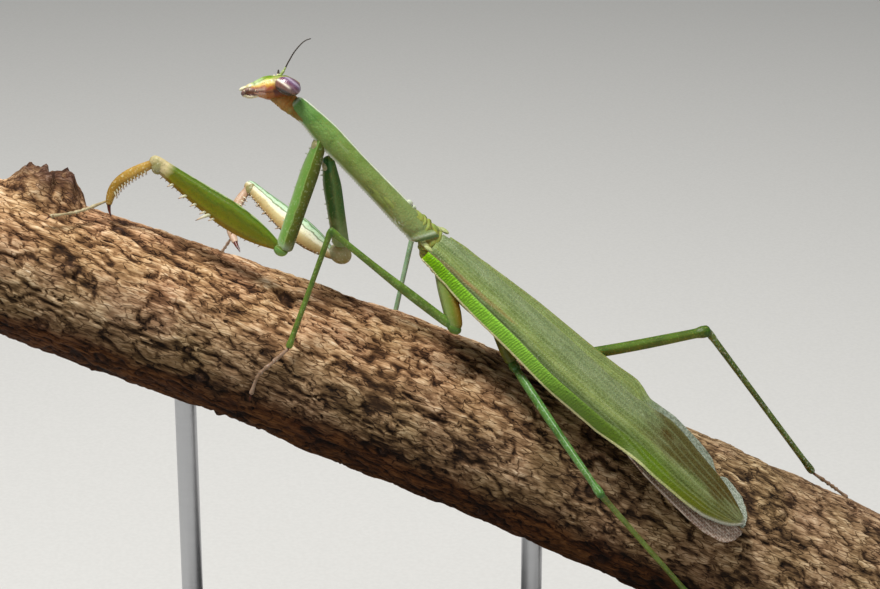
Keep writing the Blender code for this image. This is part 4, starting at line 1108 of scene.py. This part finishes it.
def wing(finish, name, slot, node, sign, stations, lift, edge, pleat):
    """A folded wing: rise = lift - 0.022 across² + 1.6 sin(pi at / 64) over the back, and past its outer
    line, where it has a turned-down edge, a curve down the side. Veins stand a little proud, and a
    pleat folds it to and fro every 0.9 mm across."""
    hind, left, up = body_frame(WING_ROOT, WING_TIP)
    rows, columns = 260, 72
    near = float(sign > 0.0 and edge)
    first, last = stations[0][0], stations[-1][0]
    at = first + (last - first) * np.sin(np.linspace(0.0, math.pi / 2.0, rows)) ** 0.9
    inner, half = sizes_at(at, stations).T[:, :, None]
    small = np.minimum(1.0, half / 4.0)
    turned = np.clip((43.0 - at) / 9.0, 0.1, 1.0)[:, None]
    over = np.linspace(0.0, 1.0, columns)[None, :] * (1.4 if edge else 1.0)
    inside, down = np.minimum(over, 1.0), np.clip(over - 1.0, 0.0, 0.4) / 0.2
    across = inner + (half - inner) * inside
    rise = lift - WING_CAMBER * across**2
    across = across + small * (0.5 * down * (2.0 - down) + (1.0 - 0.25 * turned) * down * (down - 1.0) / 2.0)
    rise = rise - 1.0 * turned * small * down
    s = np.broadcast_to(at[:, None], across.shape)
    rim = np.hypot(np.diff(across, axis=1), np.diff(rise, axis=1))
    q = np.concatenate([np.cumsum(rim[:, ::-1], axis=1)[:, ::-1], np.zeros((rows, 1))], axis=1)
    fan = (inside - 0.03 * np.sin(s / 6.0)) * (1.0 - 0.1 * s / last)
    spread = (0.16, 0.3, 0.42, 0.54, 0.65, 0.75, 0.84, 0.92)
    veins = sum(bump((fan - place) * (half - inner), 0.1) for place in spread)
    veins = np.clip(veins, 0.0, 1.0) * (0.4 if edge else 0.7)
    net, _ = cells(s / 0.9, across * 1.6 + 40.0, 256, 41)
    crumple = noise(s / 2.2, across * 0.9 + 40.0, 256, 44) * (1.0 - step_up(s, 2.0, 12.0))
    bead = bump(q - 0.12, 0.13) * edge
    ditch = bump(q - STRIP_WIDE * small, 0.3) * edge
    push = 0.1 * veins + 0.1 * bead - 0.14 * ditch + 0.03 * step_up(0.2 - net, 0.0, 0.2) + 0.22 * crumple
    push = push + pleat * np.abs((across / 0.9) % 1.0 - 0.5) + 0.06 * noise(s / 5.0, across + 40.0, 256, 42)
    rise = rise + push + WING_ARCH * np.sin(math.pi * s / WING_ARCH_SPAN)
    points = WING_ROOT + hind * s[..., None] + left * (across * sign)[..., None] + up * rise[..., None]
    wander = noise(s / 6.0, across / 2.0 + 40.0, 256, 43)
    brown = step_up(s + 4.0 * wander, 37.0, 45.0) * step_up(q + 0.9 * wander, 3.6, 5.0)
    brown = 0.85 * brown + 0.6 * step_up(s + 3.0 * wander, 50.0, 57.0)
    stigma = bump(s - 42.3, 1.1) * bump(across + 1.2, 0.6)
    specks = ((37.0, -0.9), (37.7, -0.7), (26.0, -0.4), (22.0, 0.6))
    speck = sum(bump(np.hypot(s - a, across - b), 0.16) for a, b in specks)
    clear = (1.0 - step_up(np.minimum(q, WING_END - s), 0.15, 0.7)) * step_up(s, 49.0, 54.0)
    streak = near * bump(across - 2.9 + 0.016 * s + 0.25 * wander, 0.5)
    marks = {
        "zone": np.clip(q / ZONE_WIDE / small, 0.45 * (1.0 - near), 1.0),
        "out": s / 60.0,
        "vein": np.clip(veins * 0.5 + speck, 0.0, 1.0),
        "streak": streak * (1.0 - step_up(s + 2.0 * wander, 12.0, 17.0)),
        "smoke": np.clip(brown + 0.9 * stigma, 0.0, 1.0),
        "clear": np.clip(clear, 0.0, 1.0),
    }
    piece = Piece(finish)
    piece.grid(points, np.stack([s, across], -1), closed=False, flip=sign < 0.0, marks=marks)
    made = piece.make(name, slot, node)
    shell = made.modifiers.new("wing_thickness", "SOLIDIFY")
    shell.thickness = WING_THICKNESS * MM
    shell.offset = 0.0


def build_wings():
    """Two leathery fore wings, the left over the right, on two hind wings, smoky and silvery."""
    near, far = fore_wing_finish("leathery_fore_wing"), fore_wing_finish("leathery_under_wing", 0.8)
    smoky = hind_wing_finish("smoky_hind_wing", "#8a6450", "#b09480", "#e0d2c0")
    silvery = hind_wing_finish("silvery_hind_wing", "#6e7866", "#98a08c", "#c8ccbc")
    for side, sign, finish, stations, lift in (
        ("left", 1.0, near, FORE_WING_LEFT, 0.95), ("right", -1.0, far, FORE_WING_RIGHT, 0.25),
    ):
        wing(finish, f"fore_wing_{side}", "wing_green", f"tegmen_{side}", sign, stations, lift, True, 0.0)
    for side, sign, finish, stations in (
        ("left", 1.0, smoky, HIND_WING_LEFT), ("right", -1.0, silvery, HIND_WING_RIGHT),
    ):
        names = f"hind_wing_{side}", "wing_clear", f"hindwing_{side}"
        wing(finish, *names, sign, stations, -0.55, False, 0.22)


# ---------------------------------------------------------------- legs


def between(start, end, share):
    """The point this share of the way from start to end."""
    return start + (end - start) * share


def foot(piece, line, thick, side, finish):
    """Foot of five short joints, each a little swollen at its far end, the last one the longest."""
    stations = [(-0.01, thick * 0.8)]
    for start, end in ((0.0, 0.32), (0.32, 0.48), (0.48, 0.6), (0.6, 0.7), (0.7, 1.0)):
        stations += [
            (start + 0.015, thick * 0.72), (between(start, end, 0.55), thick * 0.84),
            (end - 0.03, thick * 1.12)
        ]
    stations.append((1.0, thick * 0.5))
    limb(piece, line, stations, side, finish, rows=90, around=14)


def claws(piece, tip, along, side, down):
    """Two small curved claws that part at the end of a foot."""
    for sign in (1.0, -1.0):
        way = along * 0.8 + side * (0.6 * sign)
        spine(piece, tip - along * 0.2, way, 1.0, 0.14, bend=down * 0.45, rows=9, around=8)


def build_fore_leg(leg, outer_sign, finishes, spiny, tanned, pale):
    """Grasping leg: a long toothed coxa, a deep flat thigh with ridged edges over a row of long spines
    and a saw of short teeth, a toothed shin that ends in a claw, and a thin foot. The shin's line bows
    out by height |sin(pi share^lateness)|^fullness."""
    base, hip, knee, claw = (np.array(joint) for joint in LEGS[leg])
    thigh, shin = knee - hip, claw - knee
    thigh_way, shin_way = unit(thigh), unit(shin)
    plane = unit(np.cross(thigh, shin))
    under = unit(np.cross(thigh, plane))
    under = under * np.sign((under * shin).sum())
    bow = square_to(thigh, shin_way)
    outer = plane * outer_sign
    upper = unit(hip - base)
    outward = square_to(outer, upper)
    front = np.cross(upper, outward)
    front = front * -np.sign(front[0])

    piece = Piece(*finishes)
    coxa = [
        (-0.08, 1.2, 1.4), (0.0, 1.4, 1.7), (0.08, 1.55, 1.95), (0.3, 1.9, 2.45), (0.6, 1.9, 2.35),
        (0.88, 1.85, 2.3), (0.96, 1.8, 2.3), (1.02, 1.3, 1.6),
    ]
    ridges = (
        (0.25, 0.12, 0.025), (0.75, 0.1, 0.03), (0.0, 0.1, 0.022), (0.1, -0.07, 0.06), (0.9, -0.07, 0.05),
        (0.44, -0.05, 0.05), (0.56, 0.07, 0.03),
    )
    coxa = [(at * COXA_REACH[leg], wide, deep) for at, wide, deep in coxa]
    limb(piece, [base, between(base, hip, 0.5), hip], coxa, outward, 0, ridges, 120, 60, top=front)
    wide, tall, deep = HIP_BALLS[leg]
    hip_ball = hip + thigh_way * 0.35 + under * 0.15
    hip_finish = 0 if outer_sign > 0.0 else 4
    ball(piece, hip_ball, (thigh_way, outer, under), (wide, tall, deep), hip_finish, 20, 28)
    ball(piece, base + upper * 0.5 + front * 0.35, (upper, front, outward), (1.1, 0.75, 0.7), 4, 16, 22)

    shares = (0.0, 0.05, 0.12, 0.30, 0.42, 0.60, 0.80, 0.95, 1.0)

    def sunk(share):
        """How far the thigh's middle line lies below the straight one from hip to knee."""
        return 0.3 * math.sin(math.pi * share) + FEMUR_DROP[leg] * (1.0 - share)

    line = [between(hip, knee, share) + under * sunk(share) for share in shares]
    sizes = [
        (0.02, 0.8, 0.95), (0.07, 1.25, 1.55), (0.14, 1.65, 2.4), (0.28, 2.0, 3.5), (0.42, 2.0, 3.85),
        (0.6, 1.8, 3.4), (0.8, 1.6, 2.6), (0.93, 1.5, 2.1), (0.99, 1.45, 1.9), (1.045, 0.9, 1.2),
    ]
    ridges = (
        (0.25, 0.05, 0.018), (0.71, 0.07, 0.02), (0.79, 0.07, 0.02), (0.75, -0.06, 0.018),
        (0.12, 0.04, 0.03), (0.05, -0.05, 0.04), (0.38, 0.04, 0.03), (0.44, -0.05, 0.04), (0.9, 0.04, 0.03),
    )
    limb(piece, line, sizes, outer, 1, ridges, 150, 72, top=-under)
    thigh_at, _, thigh_depth = np.array(sizes).T

    def under_edge(share):
        """A point just inside the thigh's lower edge, for a spine to grow from."""
        depth = 0.46 * np.interp(share, thigh_at, thigh_depth)
        return between(hip, knee, share) + under * (sunk(share) + depth)

    height, fullness, lateness = TIBIA_ARCH[leg]

    def arched(share):
        """A point on the shin's bowed line."""
        late = max(share, 0.0) ** lateness
        return between(knee, claw, share) + bow * (height * abs(math.sin(math.pi * late)) ** fullness)

    line = [arched(i / 12.0) for i in range(13)]
    sizes = [
        (-0.02, 0.9, 1.0), (0.06, 1.05, 1.15), (0.2, 1.2, 1.45), (0.4, 1.2, 1.6), (0.6, 1.1, 1.5),
        (0.72, 0.95, 1.25), (0.8, 0.8, 1.0), (0.86, 0.6, 0.75),
    ]
    ridges = ((0.25, 0.05, 0.03), (0.7, 0.07, 0.03), (0.8, 0.07, 0.03), (0.02, -0.05, 0.05))
    limb(piece, line, sizes, outer, 2, ridges, 80, 40, top=bow)
    knee_ball = knee - thigh_way * 0.7 + under * 0.35
    ball(piece, knee_ball, (thigh_way, outer, under), (1.0, 0.82, 1.15), 4, 16, 22)
    foot(piece, np.array(FORE_FEET[leg]), 0.5, plane, 3)
    piece.make(f"{leg}_leg", "body_green", *(f"{leg}_{part}" for part in LEG_PARTS))

    teeth = Piece(spiny, tanned, pale)
    aside = outward * (-0.35 if outer_sign > 0.0 else 0.1)
    for i in range(16):
        root = between(base, hip, 0.08 + 0.052 * i) + (front + aside) * 1.05
        spine(teeth, root, front + aside + upper * 0.2, 0.42 + 0.24 * (i % 3 == 1), 0.24, 2, rows=5, around=6)
    for share, length in FORE_SPINES[leg]:
        root = under_edge(share) + outer * 0.35
        way = under * 0.8 + thigh_way * 0.6 + outer * 0.1
        spine(teeth, root, way, length, 0.2 + 0.06 * length, bend=thigh_way * -0.1 * length)
    for i in range(26):
        share = 0.14 + 0.032 * i
        root = under_edge(share) - outer * 0.2
        spine(teeth, root, under + thigh_way * 0.4, 0.46 + 0.2 * (i % 3 == 0), 0.17, rows=5, around=6)
    for side in (0.32, -0.32):
        for i in range(11):
            root = arched(0.2 + 0.05 * i) - bow * (0.78 - 0.03 * i) + plane * side
            way = shin_way * 0.55 - bow
            spine(teeth, root, way, 0.4 + 0.045 * i, 0.15, bend=shin_way * 0.1, rows=6, around=6)
    teeth.make(f"{leg}_spines", "body_green")
    hook = Piece(tanned)
    line = [arched(0.82), arched(0.9), arched(0.96) - bow * 0.05, claw]
    sizes = [(0.0, 0.66, 0.8), (0.4, 0.48, 0.56), (0.75, 0.3, 0.34), (1.0, 0.1, 0.1)]
    limb(hook, line, sizes, plane, rows=40, around=16)
    toe = np.array(FORE_FEET[leg][2])
    along = unit(toe - np.array(FORE_FEET[leg][1]))
    claws(hook, toe, along, square_to(plane, along), np.array((0.0, 0.0, -1.0)))
    hook.make(f"{leg}_claw", "body_green")


def build_walking_leg(leg, finishes, tanned):
    """Walking leg: a stout grooved coxa, a thigh that tapers to the knee, a thin shin with a pair of
    spurs at its end, and a foot laid on the bark."""
    base, hip, knee, heel, toe, tip = (np.array(joint) for joint in LEGS[leg])
    thick, thin, shank = WALKING_LEGS[leg]
    side = unit(np.cross(knee - hip, heel - knee))
    piece = Piece(*finishes)
    sizes = [
        (-0.12, 1.2, 1.4), (0.0, 1.8, 2.1), (0.15, 2.1, 2.4), (0.4, 2.35, 2.6), (0.7, 2.3, 2.55),
        (0.9, 1.9, 2.15), (1.02, 1.3, 1.5),
    ]
    ridges = (
        (0.12, 0.06, 0.04), (0.2, -0.06, 0.04), (0.62, 0.05, 0.05), (0.7, -0.06, 0.04), (0.4, -0.05, 0.04),
    )
    limb(piece, [base, between(base, hip, 0.5), hip], sizes, side, 0, ridges, 70, 40)
    thigh = unit(knee - hip)
    ball(piece, hip + thigh * 0.5, (thigh, side, np.cross(thigh, side)), (1.2, 0.8, 0.85), 1, 16, 22)
    sag = np.array((0.0, 0.0, -0.2))
    line = [hip, between(hip, knee, 0.5) + sag, knee]
    sizes = [
        (0.03, thick * 0.75), (0.1, thick), (0.3, thick * 1.02), (0.7, thin * 1.04), (0.92, thin * 0.96),
        (0.97, thin * 1.2), (1.0, thin * 1.15), (1.018, thin * 0.8),
    ]
    ridges = [(at, 0.07, 0.03) for at in (0.06, 0.19, 0.31, 0.44)] + [(at, 0.06, 0.03) for at in (0.62, 0.86)]
    limb(piece, line, sizes, side, 1, ridges, 130, 40)
    shin = unit(heel - knee)
    sizes = [
        (-0.015, shank * 0.9), (0.03, shank * 1.1), (0.07, shank * 0.95), (0.5, shank * 0.85),
        (0.9, shank * 0.9), (0.97, shank * 1.1), (1.0, shank * 0.8),
    ]
    ridges = [(at, 0.07, 0.05) for at in (0.05, 0.3, 0.55, 0.8)]
    line = [knee, between(knee, heel, 0.5), heel]
    limb(piece, line, sizes, side, 2, ridges, 120, 28)
    foot(piece, [heel, between(heel, toe, 0.5), toe, tip], 0.62, side, 3)
    piece.make(f"{leg}_leg", "body_green", *(f"{leg}_{part}" for part in LEG_PARTS))
    ends = Piece(tanned)
    along = unit(tip - toe)
    claws(ends, tip, along, square_to(side, along), np.array((0.0, 0.0, -0.6)))
    for sign in (1.0, -1.0):
        root = heel - shin * 0.4 + side * (0.25 * sign)
        spine(ends, root, shin + side * (0.5 * sign), 0.8, 0.13, rows=5, around=6)
    ends.make(f"{leg}_claws", "body_green")


def build_legs():
    """Six legs, each in cuticle of its own shades: partly since they are tanned differently, and partly
    as painted shade and painted highlight, since they are lit differently.
    """
    # The dark olive band below, 0.72 to 0.92 round, is partly the coxa's own hind face, partly painted shade.
    near_coxa = striped_cuticle(
        "near_coxa_cuticle",
        [(0.0, "#7f9850"), (0.02, "#64903c"), (0.04, "#64903c"), (0.12, "#6f9848"), (0.22, "#83a262"),
         (0.28, "#b4c49c"),
         (0.34, "#7d9a54"), (0.5, "#5f8438"), (0.72, "#34440a"), (0.82, "#3c4e0c"), (0.92, "#4e640e"),
         (0.985, "#5a7016"), (1.0, "#7f9850")],
        "#b6c69a", 0.3, (13.5, 17.5, "#b9c0a0"),
    )
    far_coxa = striped_cuticle(
        "far_coxa_cuticle",
        [(0.0, "#1e5018"), (0.25, "#4a7a3c"), (0.34, "#1e5a1c"), (0.5, "#1c5418"), (0.56, "#4a7c3a"),
         (0.66, "#2a6426"),
         (0.8, "#1e4a14"), (1.0, "#1e5018")],
        "#7d9e5e", 0.3, (6.0, 14.0, "#8ca06c"),
    )
    near_thigh = striped_cuticle(
        "near_thigh_cuticle",
        [(0.0, "#565e06"), (0.05, "#465806"), (0.09, "#566c0a"), (0.17, "#48660a"), (0.21, "#34500a"),
         (0.25, "#a4b874"),
         (0.3, "#5c7a28"), (0.45, "#a89a50"), (0.6, "#b48a48"), (0.75, "#8c6418"), (0.83, "#8a7010"),
         (0.9, "#767408"),
         (0.95, "#626806"), (1.0, "#565e06")],
        "#36400c", 0.35, (18.6, 20.8, "#c9b684"),
    )
    far_thigh = striped_cuticle(
        "far_thigh_cuticle",
        [(0.0, "#5f8a3a"), (0.22, "#3f6a2a"), (0.27, "#34602a"), (0.3, "#9cc08c"), (0.345, "#a8c898"),
         (0.365, "#2f5a28"),
         (0.39, "#b4d0a8"), (0.435, "#c4d8b4"), (0.455, "#5a7040"), (0.475, "#e2e0c4"), (0.53, "#e6dcb4"),
         (0.56, "#c6b27e"), (0.66, "#b29862"), (0.74, "#906c40"), (0.84, "#7f8a40"), (1.0, "#5f8a3a")],
        "#6a4a20", 0.3,
    )
    # The pale grey-green band at 0.08 to 0.24 round is a painted highlight on the side the light falls on.
    mid_coxa = striped_cuticle(
        "mid_coxa_cuticle",
        [(0.0, "#6c7c24"), (0.08, "#7d9048"), (0.24, "#8a9e66"), (0.5, "#6a8038"), (0.72, "#5c560e"),
         (0.82, "#86661c"),
         (0.92, "#7c6c1a"), (1.0, "#6c7c24")],
        "#a8a058", 0.3,
    )
    shin_tan = cuticle("fore_shin_cuticle", "#8c661e", "#b48a3c", "#ecd6a4")
    pale_foot = cuticle("pale_foot_cuticle", "#94805a", "#bcaa80", "#e0d6b4")
    shin_far = cuticle("far_shin_cuticle", "#b0886a", "#cfae94", "#ead8c4")
    knob = cuticle("mottled_joint_cuticle", "#8c8450", "#c0b88c", "#f0ecd8")
    green_knob = cuticle("pale_joint_cuticle", "#8a8450", "#b4ac7c", "#e6e0c4")
    leaf = cuticle("leg_cuticle", "#3f5c1c", "#5c7c2c", "#94a868")
    olive = cuticle("hind_coxa_cuticle", "#3f4a0c", "#5c6416", "#8a8a40")
    pale_shin = cuticle("pale_shin_cuticle", "#6a8a64", "#86a47e", "#b4c8a8")
    blue = cuticle("hind_thigh_cuticle", "#38601f", "#507a36", "#9abc96", 0.3)
    # The next three cuticles are darker greens for the right legs: painted shade, since those legs lie in
    # shade.
    bright = cuticle("shaded_vivid_thigh_cuticle", "#304e08", "#426410", "#7a9440")
    dark = cuticle("shaded_leg_cuticle", "#3c5218", "#587028", "#8c9c60")
    dusky = cuticle("shaded_dusky_shin_cuticle", "#304a1a", "#507030", "#dcdcc8")
    foot_brown = cuticle("foot_cuticle", "#7a5c42", "#a0806a", "#cdb6a2")
    foot_green = cuticle("green_foot_cuticle", "#3f5a1c", "#5f7a30", "#98a870")
    spiny, tanned = spine_finish(), claw_finish()
    pale = cuticle("pale_tooth_cuticle", "#b4bc98", "#d4d8bc", "#eef0de")
    near = (near_coxa, near_thigh, shin_tan, pale_foot, green_knob)
    far = (far_coxa, far_thigh, shin_far, shin_far, knob)
    build_fore_leg("fore_left", 1.0, near, spiny, tanned, pale)
    build_fore_leg("fore_right", -1.0, far, spiny, tanned, pale)
    build_walking_leg("mid_left", (mid_coxa, leaf, leaf, foot_brown), tanned)
    build_walking_leg("mid_right", (dark, dark, pale_shin, foot_brown), tanned)
    build_walking_leg("hind_left", (olive, blue, leaf, foot_green), tanned)
    build_walking_leg("hind_right", (dark, bright, dusky, foot_brown), tanned)


# ---------------------------------------------------------------- head


def build_head():
    """Head capsule: sections square to the line to the mouth, each of a half width, a height of face
    and of throat, rounder above than below, with a raised shield on the face, furrows beside it, and
    sunk rims where the feelers and the eyes are set."""
    forward, left, face = head_frame()
    stations = (
        (-2.1, 0.5, 0.2, -0.5), (-1.8, 1.3, 0.55, -0.95), (-1.1, 1.9, 1.1, -1.25), (-0.2, 2.15, 1.6, -1.5),
        (1.0, 2.3, 1.74, -1.6), (2.0, 1.95, 1.93, -1.55), (2.7, 1.65, 1.88, -1.4), (3.4, 1.38, 1.7, -1.05),
        (4.1, 1.14, 1.5, -0.75), (4.7, 0.98, 1.32, -0.55), (5.2, 0.6, 0.95, -0.2),
    )
    rows, around = 150, 128
    f = -2.1 + 7.3 * (0.5 - 0.5 * np.cos(math.pi * np.linspace(0.0, 1.0, rows)))
    wide, top, low = sizes_at(f, stations).T[:, :, None]
    f, t = np.meshgrid(f, np.arange(around) / around, indexing="ij")
    across = np.sign(np.cos(TAU * t)) * np.abs(np.cos(TAU * t)) ** 0.85 * wide
    rise = np.sin(TAU * t)
    over = (top + low) / 2.0 + rise * (top - low) / 2.0
    up_face = step_up(rise, 0.55, 0.9)
    shield = up_face * bump(f - 3.2, 0.95) * step_up(1.0 - np.abs(across) / 0.85, 0.0, 0.35)
    furrow = bump(np.abs(across) - 1.0, 0.14) * up_face * step_up(f, 1.0, 2.0)
    arch = bump(f - 4.35, 0.1) * step_up(rise, -0.1, 0.5)
    crown = up_face * step_up(-f, -0.4, 0.6)
    lobes = crown * (0.16 * np.cos(TAU * across / 1.7) - 0.05)
    cheek = bump((t + 0.5) % 1.0 - 0.5, 0.05) * bump(f - 3.0, 1.1) + bump(t - 0.5, 0.05) * bump(f - 3.0, 1.1)
    seam = bump(rise + 0.42, 0.09) * step_up(f, 1.2, 2.4)
    grain = noise(f / 0.5, t * 30.0, 30, 51) * 0.02
    push = 0.07 * shield - 0.1 * furrow - 0.12 * arch + lobes + 0.16 * cheek - 0.09 * seam + grain
    size = 1.0 + push / np.hypot(wide, (top - low) / 2.0)
    mid = (top + low) / 2.0
    points = HEAD_MIDDLE + (
        forward * f[..., None]
        + left * (across * size)[..., None]
        + face * (mid + (over - mid) * size)[..., None]
    )
    marks = {
        "height": 0.5 + over / 4.0,
        "forth": (f + 2.1) / 7.3,
        "crease": np.clip(0.5 * furrow + 0.25 * arch + 0.6 * seam, 0.0, 1.0),
    }
    pale = cuticle("ocellus_and_joint", "#d9c79a", "#f2e6c4", "#fbf5dd", 0.2)
    piece = Piece(head_finish(), pale, cuticle("feeler_socket", "#86a04c", "#b4c47c", "#dfe3b4"))
    piece.grid(points, wrapped(f[:, 0], around), flip=left_handed(left, face, forward), marks=marks)
    for out, ahead, size in ((0.0, 1.25, 0.16), (0.32, 0.75, 0.19), (-0.32, 0.75, 0.19)):
        spot = HEAD_MIDDLE + left * out + forward * ahead + face * 1.8
        ball(piece, spot, (face, forward, left), (size, size, size), 1, 8, 12)
    for sign in (1.0, -1.0):
        spot = HEAD_MIDDLE + left * (0.62 * sign) + forward * 0.5 + face * 1.7
        ball(piece, spot, (face, forward, left), (0.2, 0.34, 0.34), 2, 10, 18)
    piece.make("head_capsule", "body_green", "head")

    mouth = Piece(
        mouth_finish("upper_lip_cuticle", "#cfc08c", "#f0ecc8"),
        mouth_finish("jaw_cuticle", "#7c4630", "#a8714c"),
        mouth_finish("palp_cuticle", "#6b4a44", "#9c7a6c"),
        pale,
    )
    for ahead, lift, halves in ((4.85, 0.82, (0.85, 0.9, 0.46)), (5.78, 0.72, (0.72, 0.62, 0.3))):
        middle = HEAD_MIDDLE + forward * ahead + face * lift
        ball(mouth, middle, (forward - face * 0.2, left, face + forward * 0.2), halves, 0, 20, 28)
    palps = (
        (2, 0.24, 4, ((3.7, -0.2, 0.8), (4.7, 0.24, 0.98), (5.5, 0.38, 0.9), (6.0, 0.14, 0.75),
        (5.9, -0.3, 0.6))),
        (3, 0.2, 3, ((3.9, -0.6, 0.4), (4.7, -0.64, 0.62), (5.4, -0.54, 0.6), (5.75, -0.25, 0.45))),
    )
    for sign in (1.0, -1.0):
        out = left * sign
        middle = HEAD_MIDDLE + forward * 4.7 + out * 0.5
        ball(mouth, middle + face * 0.1, (forward, out, face), (1.05, 0.42, 0.55), 1, 18, 24)
        ball(mouth, middle - face * 0.42, (forward, out, face), (0.9, 0.34, 0.28), 2, 16, 20)
        for shade, thick, joints, path in palps:
            line = [HEAD_MIDDLE + forward * ahead + face * lift + out * aside for ahead, lift, aside in path]
            share = np.linspace(0.0, 1.0, 8 * joints + 1)
            wide = 2.0 * thick * (0.72 + 0.28 * np.abs(np.sin(math.pi * joints * share)) ** 0.6)
            limb(mouth, line, np.stack([share, wide], -1), out, shade, rows=20 * joints, around=16)
            reach = np.linalg.norm(np.diff(line, axis=0), axis=1).sum()
            knots, _ = on_line(line, reach * np.arange(1, joints + 1) / joints)
            for knot in knots:
                ball(mouth, knot, (forward, out, face), (thick * 0.82,) * 3, 3, 8, 12)
    mouth.make("mouth", "mouth_tan", "mouthparts")


def build_eyes():
    """Compound eyes: ellipsoids a little fuller behind, out to the sides of the head, their long axis
    tilted up in front. Marks run across and along the line that parts the front of an eye from its
    back, in millimetres from its upper end."""
    forward, left, face = head_frame()
    long_way = forward * math.cos(EYE_TILT) + face * math.sin(EYE_TILT)
    short_way = np.cross(long_way, left)
    finish = eye_finish()
    rows, around = 64, 96
    tilt = math.pi * (np.arange(rows) + 0.5)[:, None] / rows
    turn = TAU * np.arange(around)[None, :] / around
    out = -np.cos(tilt) * np.ones_like(turn)
    ahead, over = np.sin(tilt) * np.cos(turn), np.sin(tilt) * np.sin(turn)
    full = 1.0 + 0.06 * over - 0.07 * ahead * over
    line_from, line_way = (1.6, 1.6), unit((0.67, 0.742))
    for name, sign in (("left", 1.0), ("right", -1.0)):
        points = (
            (long_way * (ahead * full * EYE_HALVES[0])[..., None])
            + left * (sign * out * full * EYE_HALVES[1])[..., None]
            + short_way * (over * full * EYE_HALVES[2])[..., None]
        )
        f, c = points @ forward - line_from[0], points @ face - line_from[1]
        apart, along = c * line_way[0] - f * line_way[1], f * line_way[0] + c * line_way[1]
        marks = {
            "band": np.clip(0.5 + apart / 4.0, 0.0, 1.0),
            "line": bump(apart, 0.17) * step_up(along, -3.0, -2.3) * (1.0 - step_up(along, -0.4, -0.1)),
            # rim: painted shade on the lower side and on the side against the head.
            "rim": np.clip(step_up(-out, 0.0, 0.5) + step_up(-over + 0.1 * ahead, 0.45, 0.72), 0.0, 1.0),
        }
        piece = Piece(finish)
        flip = left_handed(long_way, short_way, left * sign)
        middle = HEAD_MIDDLE + left * (EYE_SPREAD * sign) - forward * EYE_BACK - face * EYE_DROP
        piece.grid(middle + points, wrapped(tilt[:, 0], around), flip=flip, marks=marks)
        piece.make(f"compound_eye_{name}", "eye_brown", f"eye_{name}")


def build_feelers():
    """Feelers: a stout pale joint, a shorter one, then a thread of many short rings. The right feeler's
    base joints take the dark thread's finish as painted shade.
    """
    forward, left, face = head_frame()
    pale, thread = cuticle("feeler_base_cuticle", "#86a04c", "#b4c47c", "#dfe3b4"), feeler_finish()
    raised = (
        (0.0, 0.0, 0.0), (0.5, 0.0, 0.7), (1.2, 0.0, 2.0), (2.2, 0.0, 3.6), (3.6, 0.0, 5.0), (4.4, 0.0, 5.3),
    )
    swept = ((0.0, 0.0, 0.0), (-0.1, 1.5, 0.35), (-0.2, 3.5, -0.1), (-0.3, 5.5, -0.8), (-0.4, 7.5, -1.6))
    for name, sign, ahead, steps in (("left", 1.0, 0.4, raised), ("right", -1.0, 0.6, swept)):
        root = HEAD_MIDDLE + left * (0.6 * sign) + face * 1.7 + forward * ahead
        line = root + np.array(steps)
        length = np.linalg.norm(np.diff(line, axis=0), axis=1).sum()
        base = 1.3 / length
        # Painted shade: the right feeler's base takes the dark finish instead of the pale one.
        piece = Piece(pale if sign > 0.0 else thread, thread)
        sizes = [
            (0.0, 0.34), (0.04, 0.42), (base * 0.6, 0.4), (base * 0.72, 0.24), (base * 0.8, 0.3),
            (base * 1.1, 0.24),
        ]
        limb(piece, line, sizes, left, 0, rows=40, around=16)
        rings = np.arange(2 * int(length / 0.45) + 1)
        share = rings / rings[-1]
        wide = 0.2 - 0.07 * share + 0.03 * (rings % 2)
        sizes = np.stack([base + (1.0 - base) * share, wide], -1)
        limb(piece, line, sizes, left, 1, rows=160, around=12)
        piece.make(f"feeler_{name}", "feeler_dark", f"antenna_{name}")


# ---------------------------------------------------------------- studio


def build_studio():
    """Pale floor, soft light from high in front and to the left, a weak fill, and the camera."""
    made, tree, shader = surface("studio_floor", 0.8)
    here = add(tree, "TexCoord").outputs["Object"]
    mottled(tree, here, 0.8, "#cfcdc8", "#d3d1cc", into=shader.inputs["Base Color"])
    mesh = bpy.data.meshes.new("floor")
    corners = [(-2.0, -1.0, -0.0002), (2.0, -1.0, -0.0002), (2.0, 3.0, -0.0002), (-2.0, 3.0, -0.0002)]
    mesh.from_pydata(corners, [], [(0, 1, 2, 3)])
    mesh.materials.append(made)
    floor = bpy.data.objects.new("floor", mesh)
    bpy.context.scene.collection.objects.link(floor)

    world = bpy.data.worlds.new("studio")
    world.use_nodes = True
    world.node_tree.nodes["Background"].inputs["Color"].default_value = linear("#e9eef2")
    world.node_tree.nodes["Background"].inputs["Strength"].default_value = 0.2
    bpy.context.scene.world = world
    for name, place, power, size in (
        ("key", (-0.13, -0.1, 0.72), 6.2, 0.18),
        ("fill", (0.5, -0.55, 0.4), 0.7, 0.5),
    ):
        lamp = bpy.data.lights.new(name, "AREA")
        lamp.energy, lamp.size = power, size
        made = bpy.data.objects.new(name, lamp)
        made.location = place
        aim = np.array((0.0, 0.0, 0.07)) - np.array(place)
        made.rotation_euler = (math.acos(-unit(aim)[2]), 0.0, math.atan2(aim[1], aim[0]) - math.pi / 2.0)
        bpy.context.scene.collection.objects.link(made)

    lens = bpy.data.cameras.new("camera")
    lens.lens, lens.sensor_width = 100.0, 36.0
    camera = bpy.data.objects.new("camera", lens)
    rise, reach, aim_height = math.radians(20.0), 0.359, 0.076
    camera.location = (0.0, -reach * math.cos(rise), aim_height + reach * math.sin(rise))
    camera.rotation_euler = (math.pi / 2.0 - rise, 0.0, 0.0)
    bpy.context.scene.collection.objects.link(camera)
    scene = bpy.context.scene
    scene.camera = camera
    scene.view_settings.view_transform = "Standard"


build_branch()
build_stand()
build_body()
build_pronotum()
build_wings()
build_legs()
build_head()
build_eyes()
build_feelers()
build_studio()
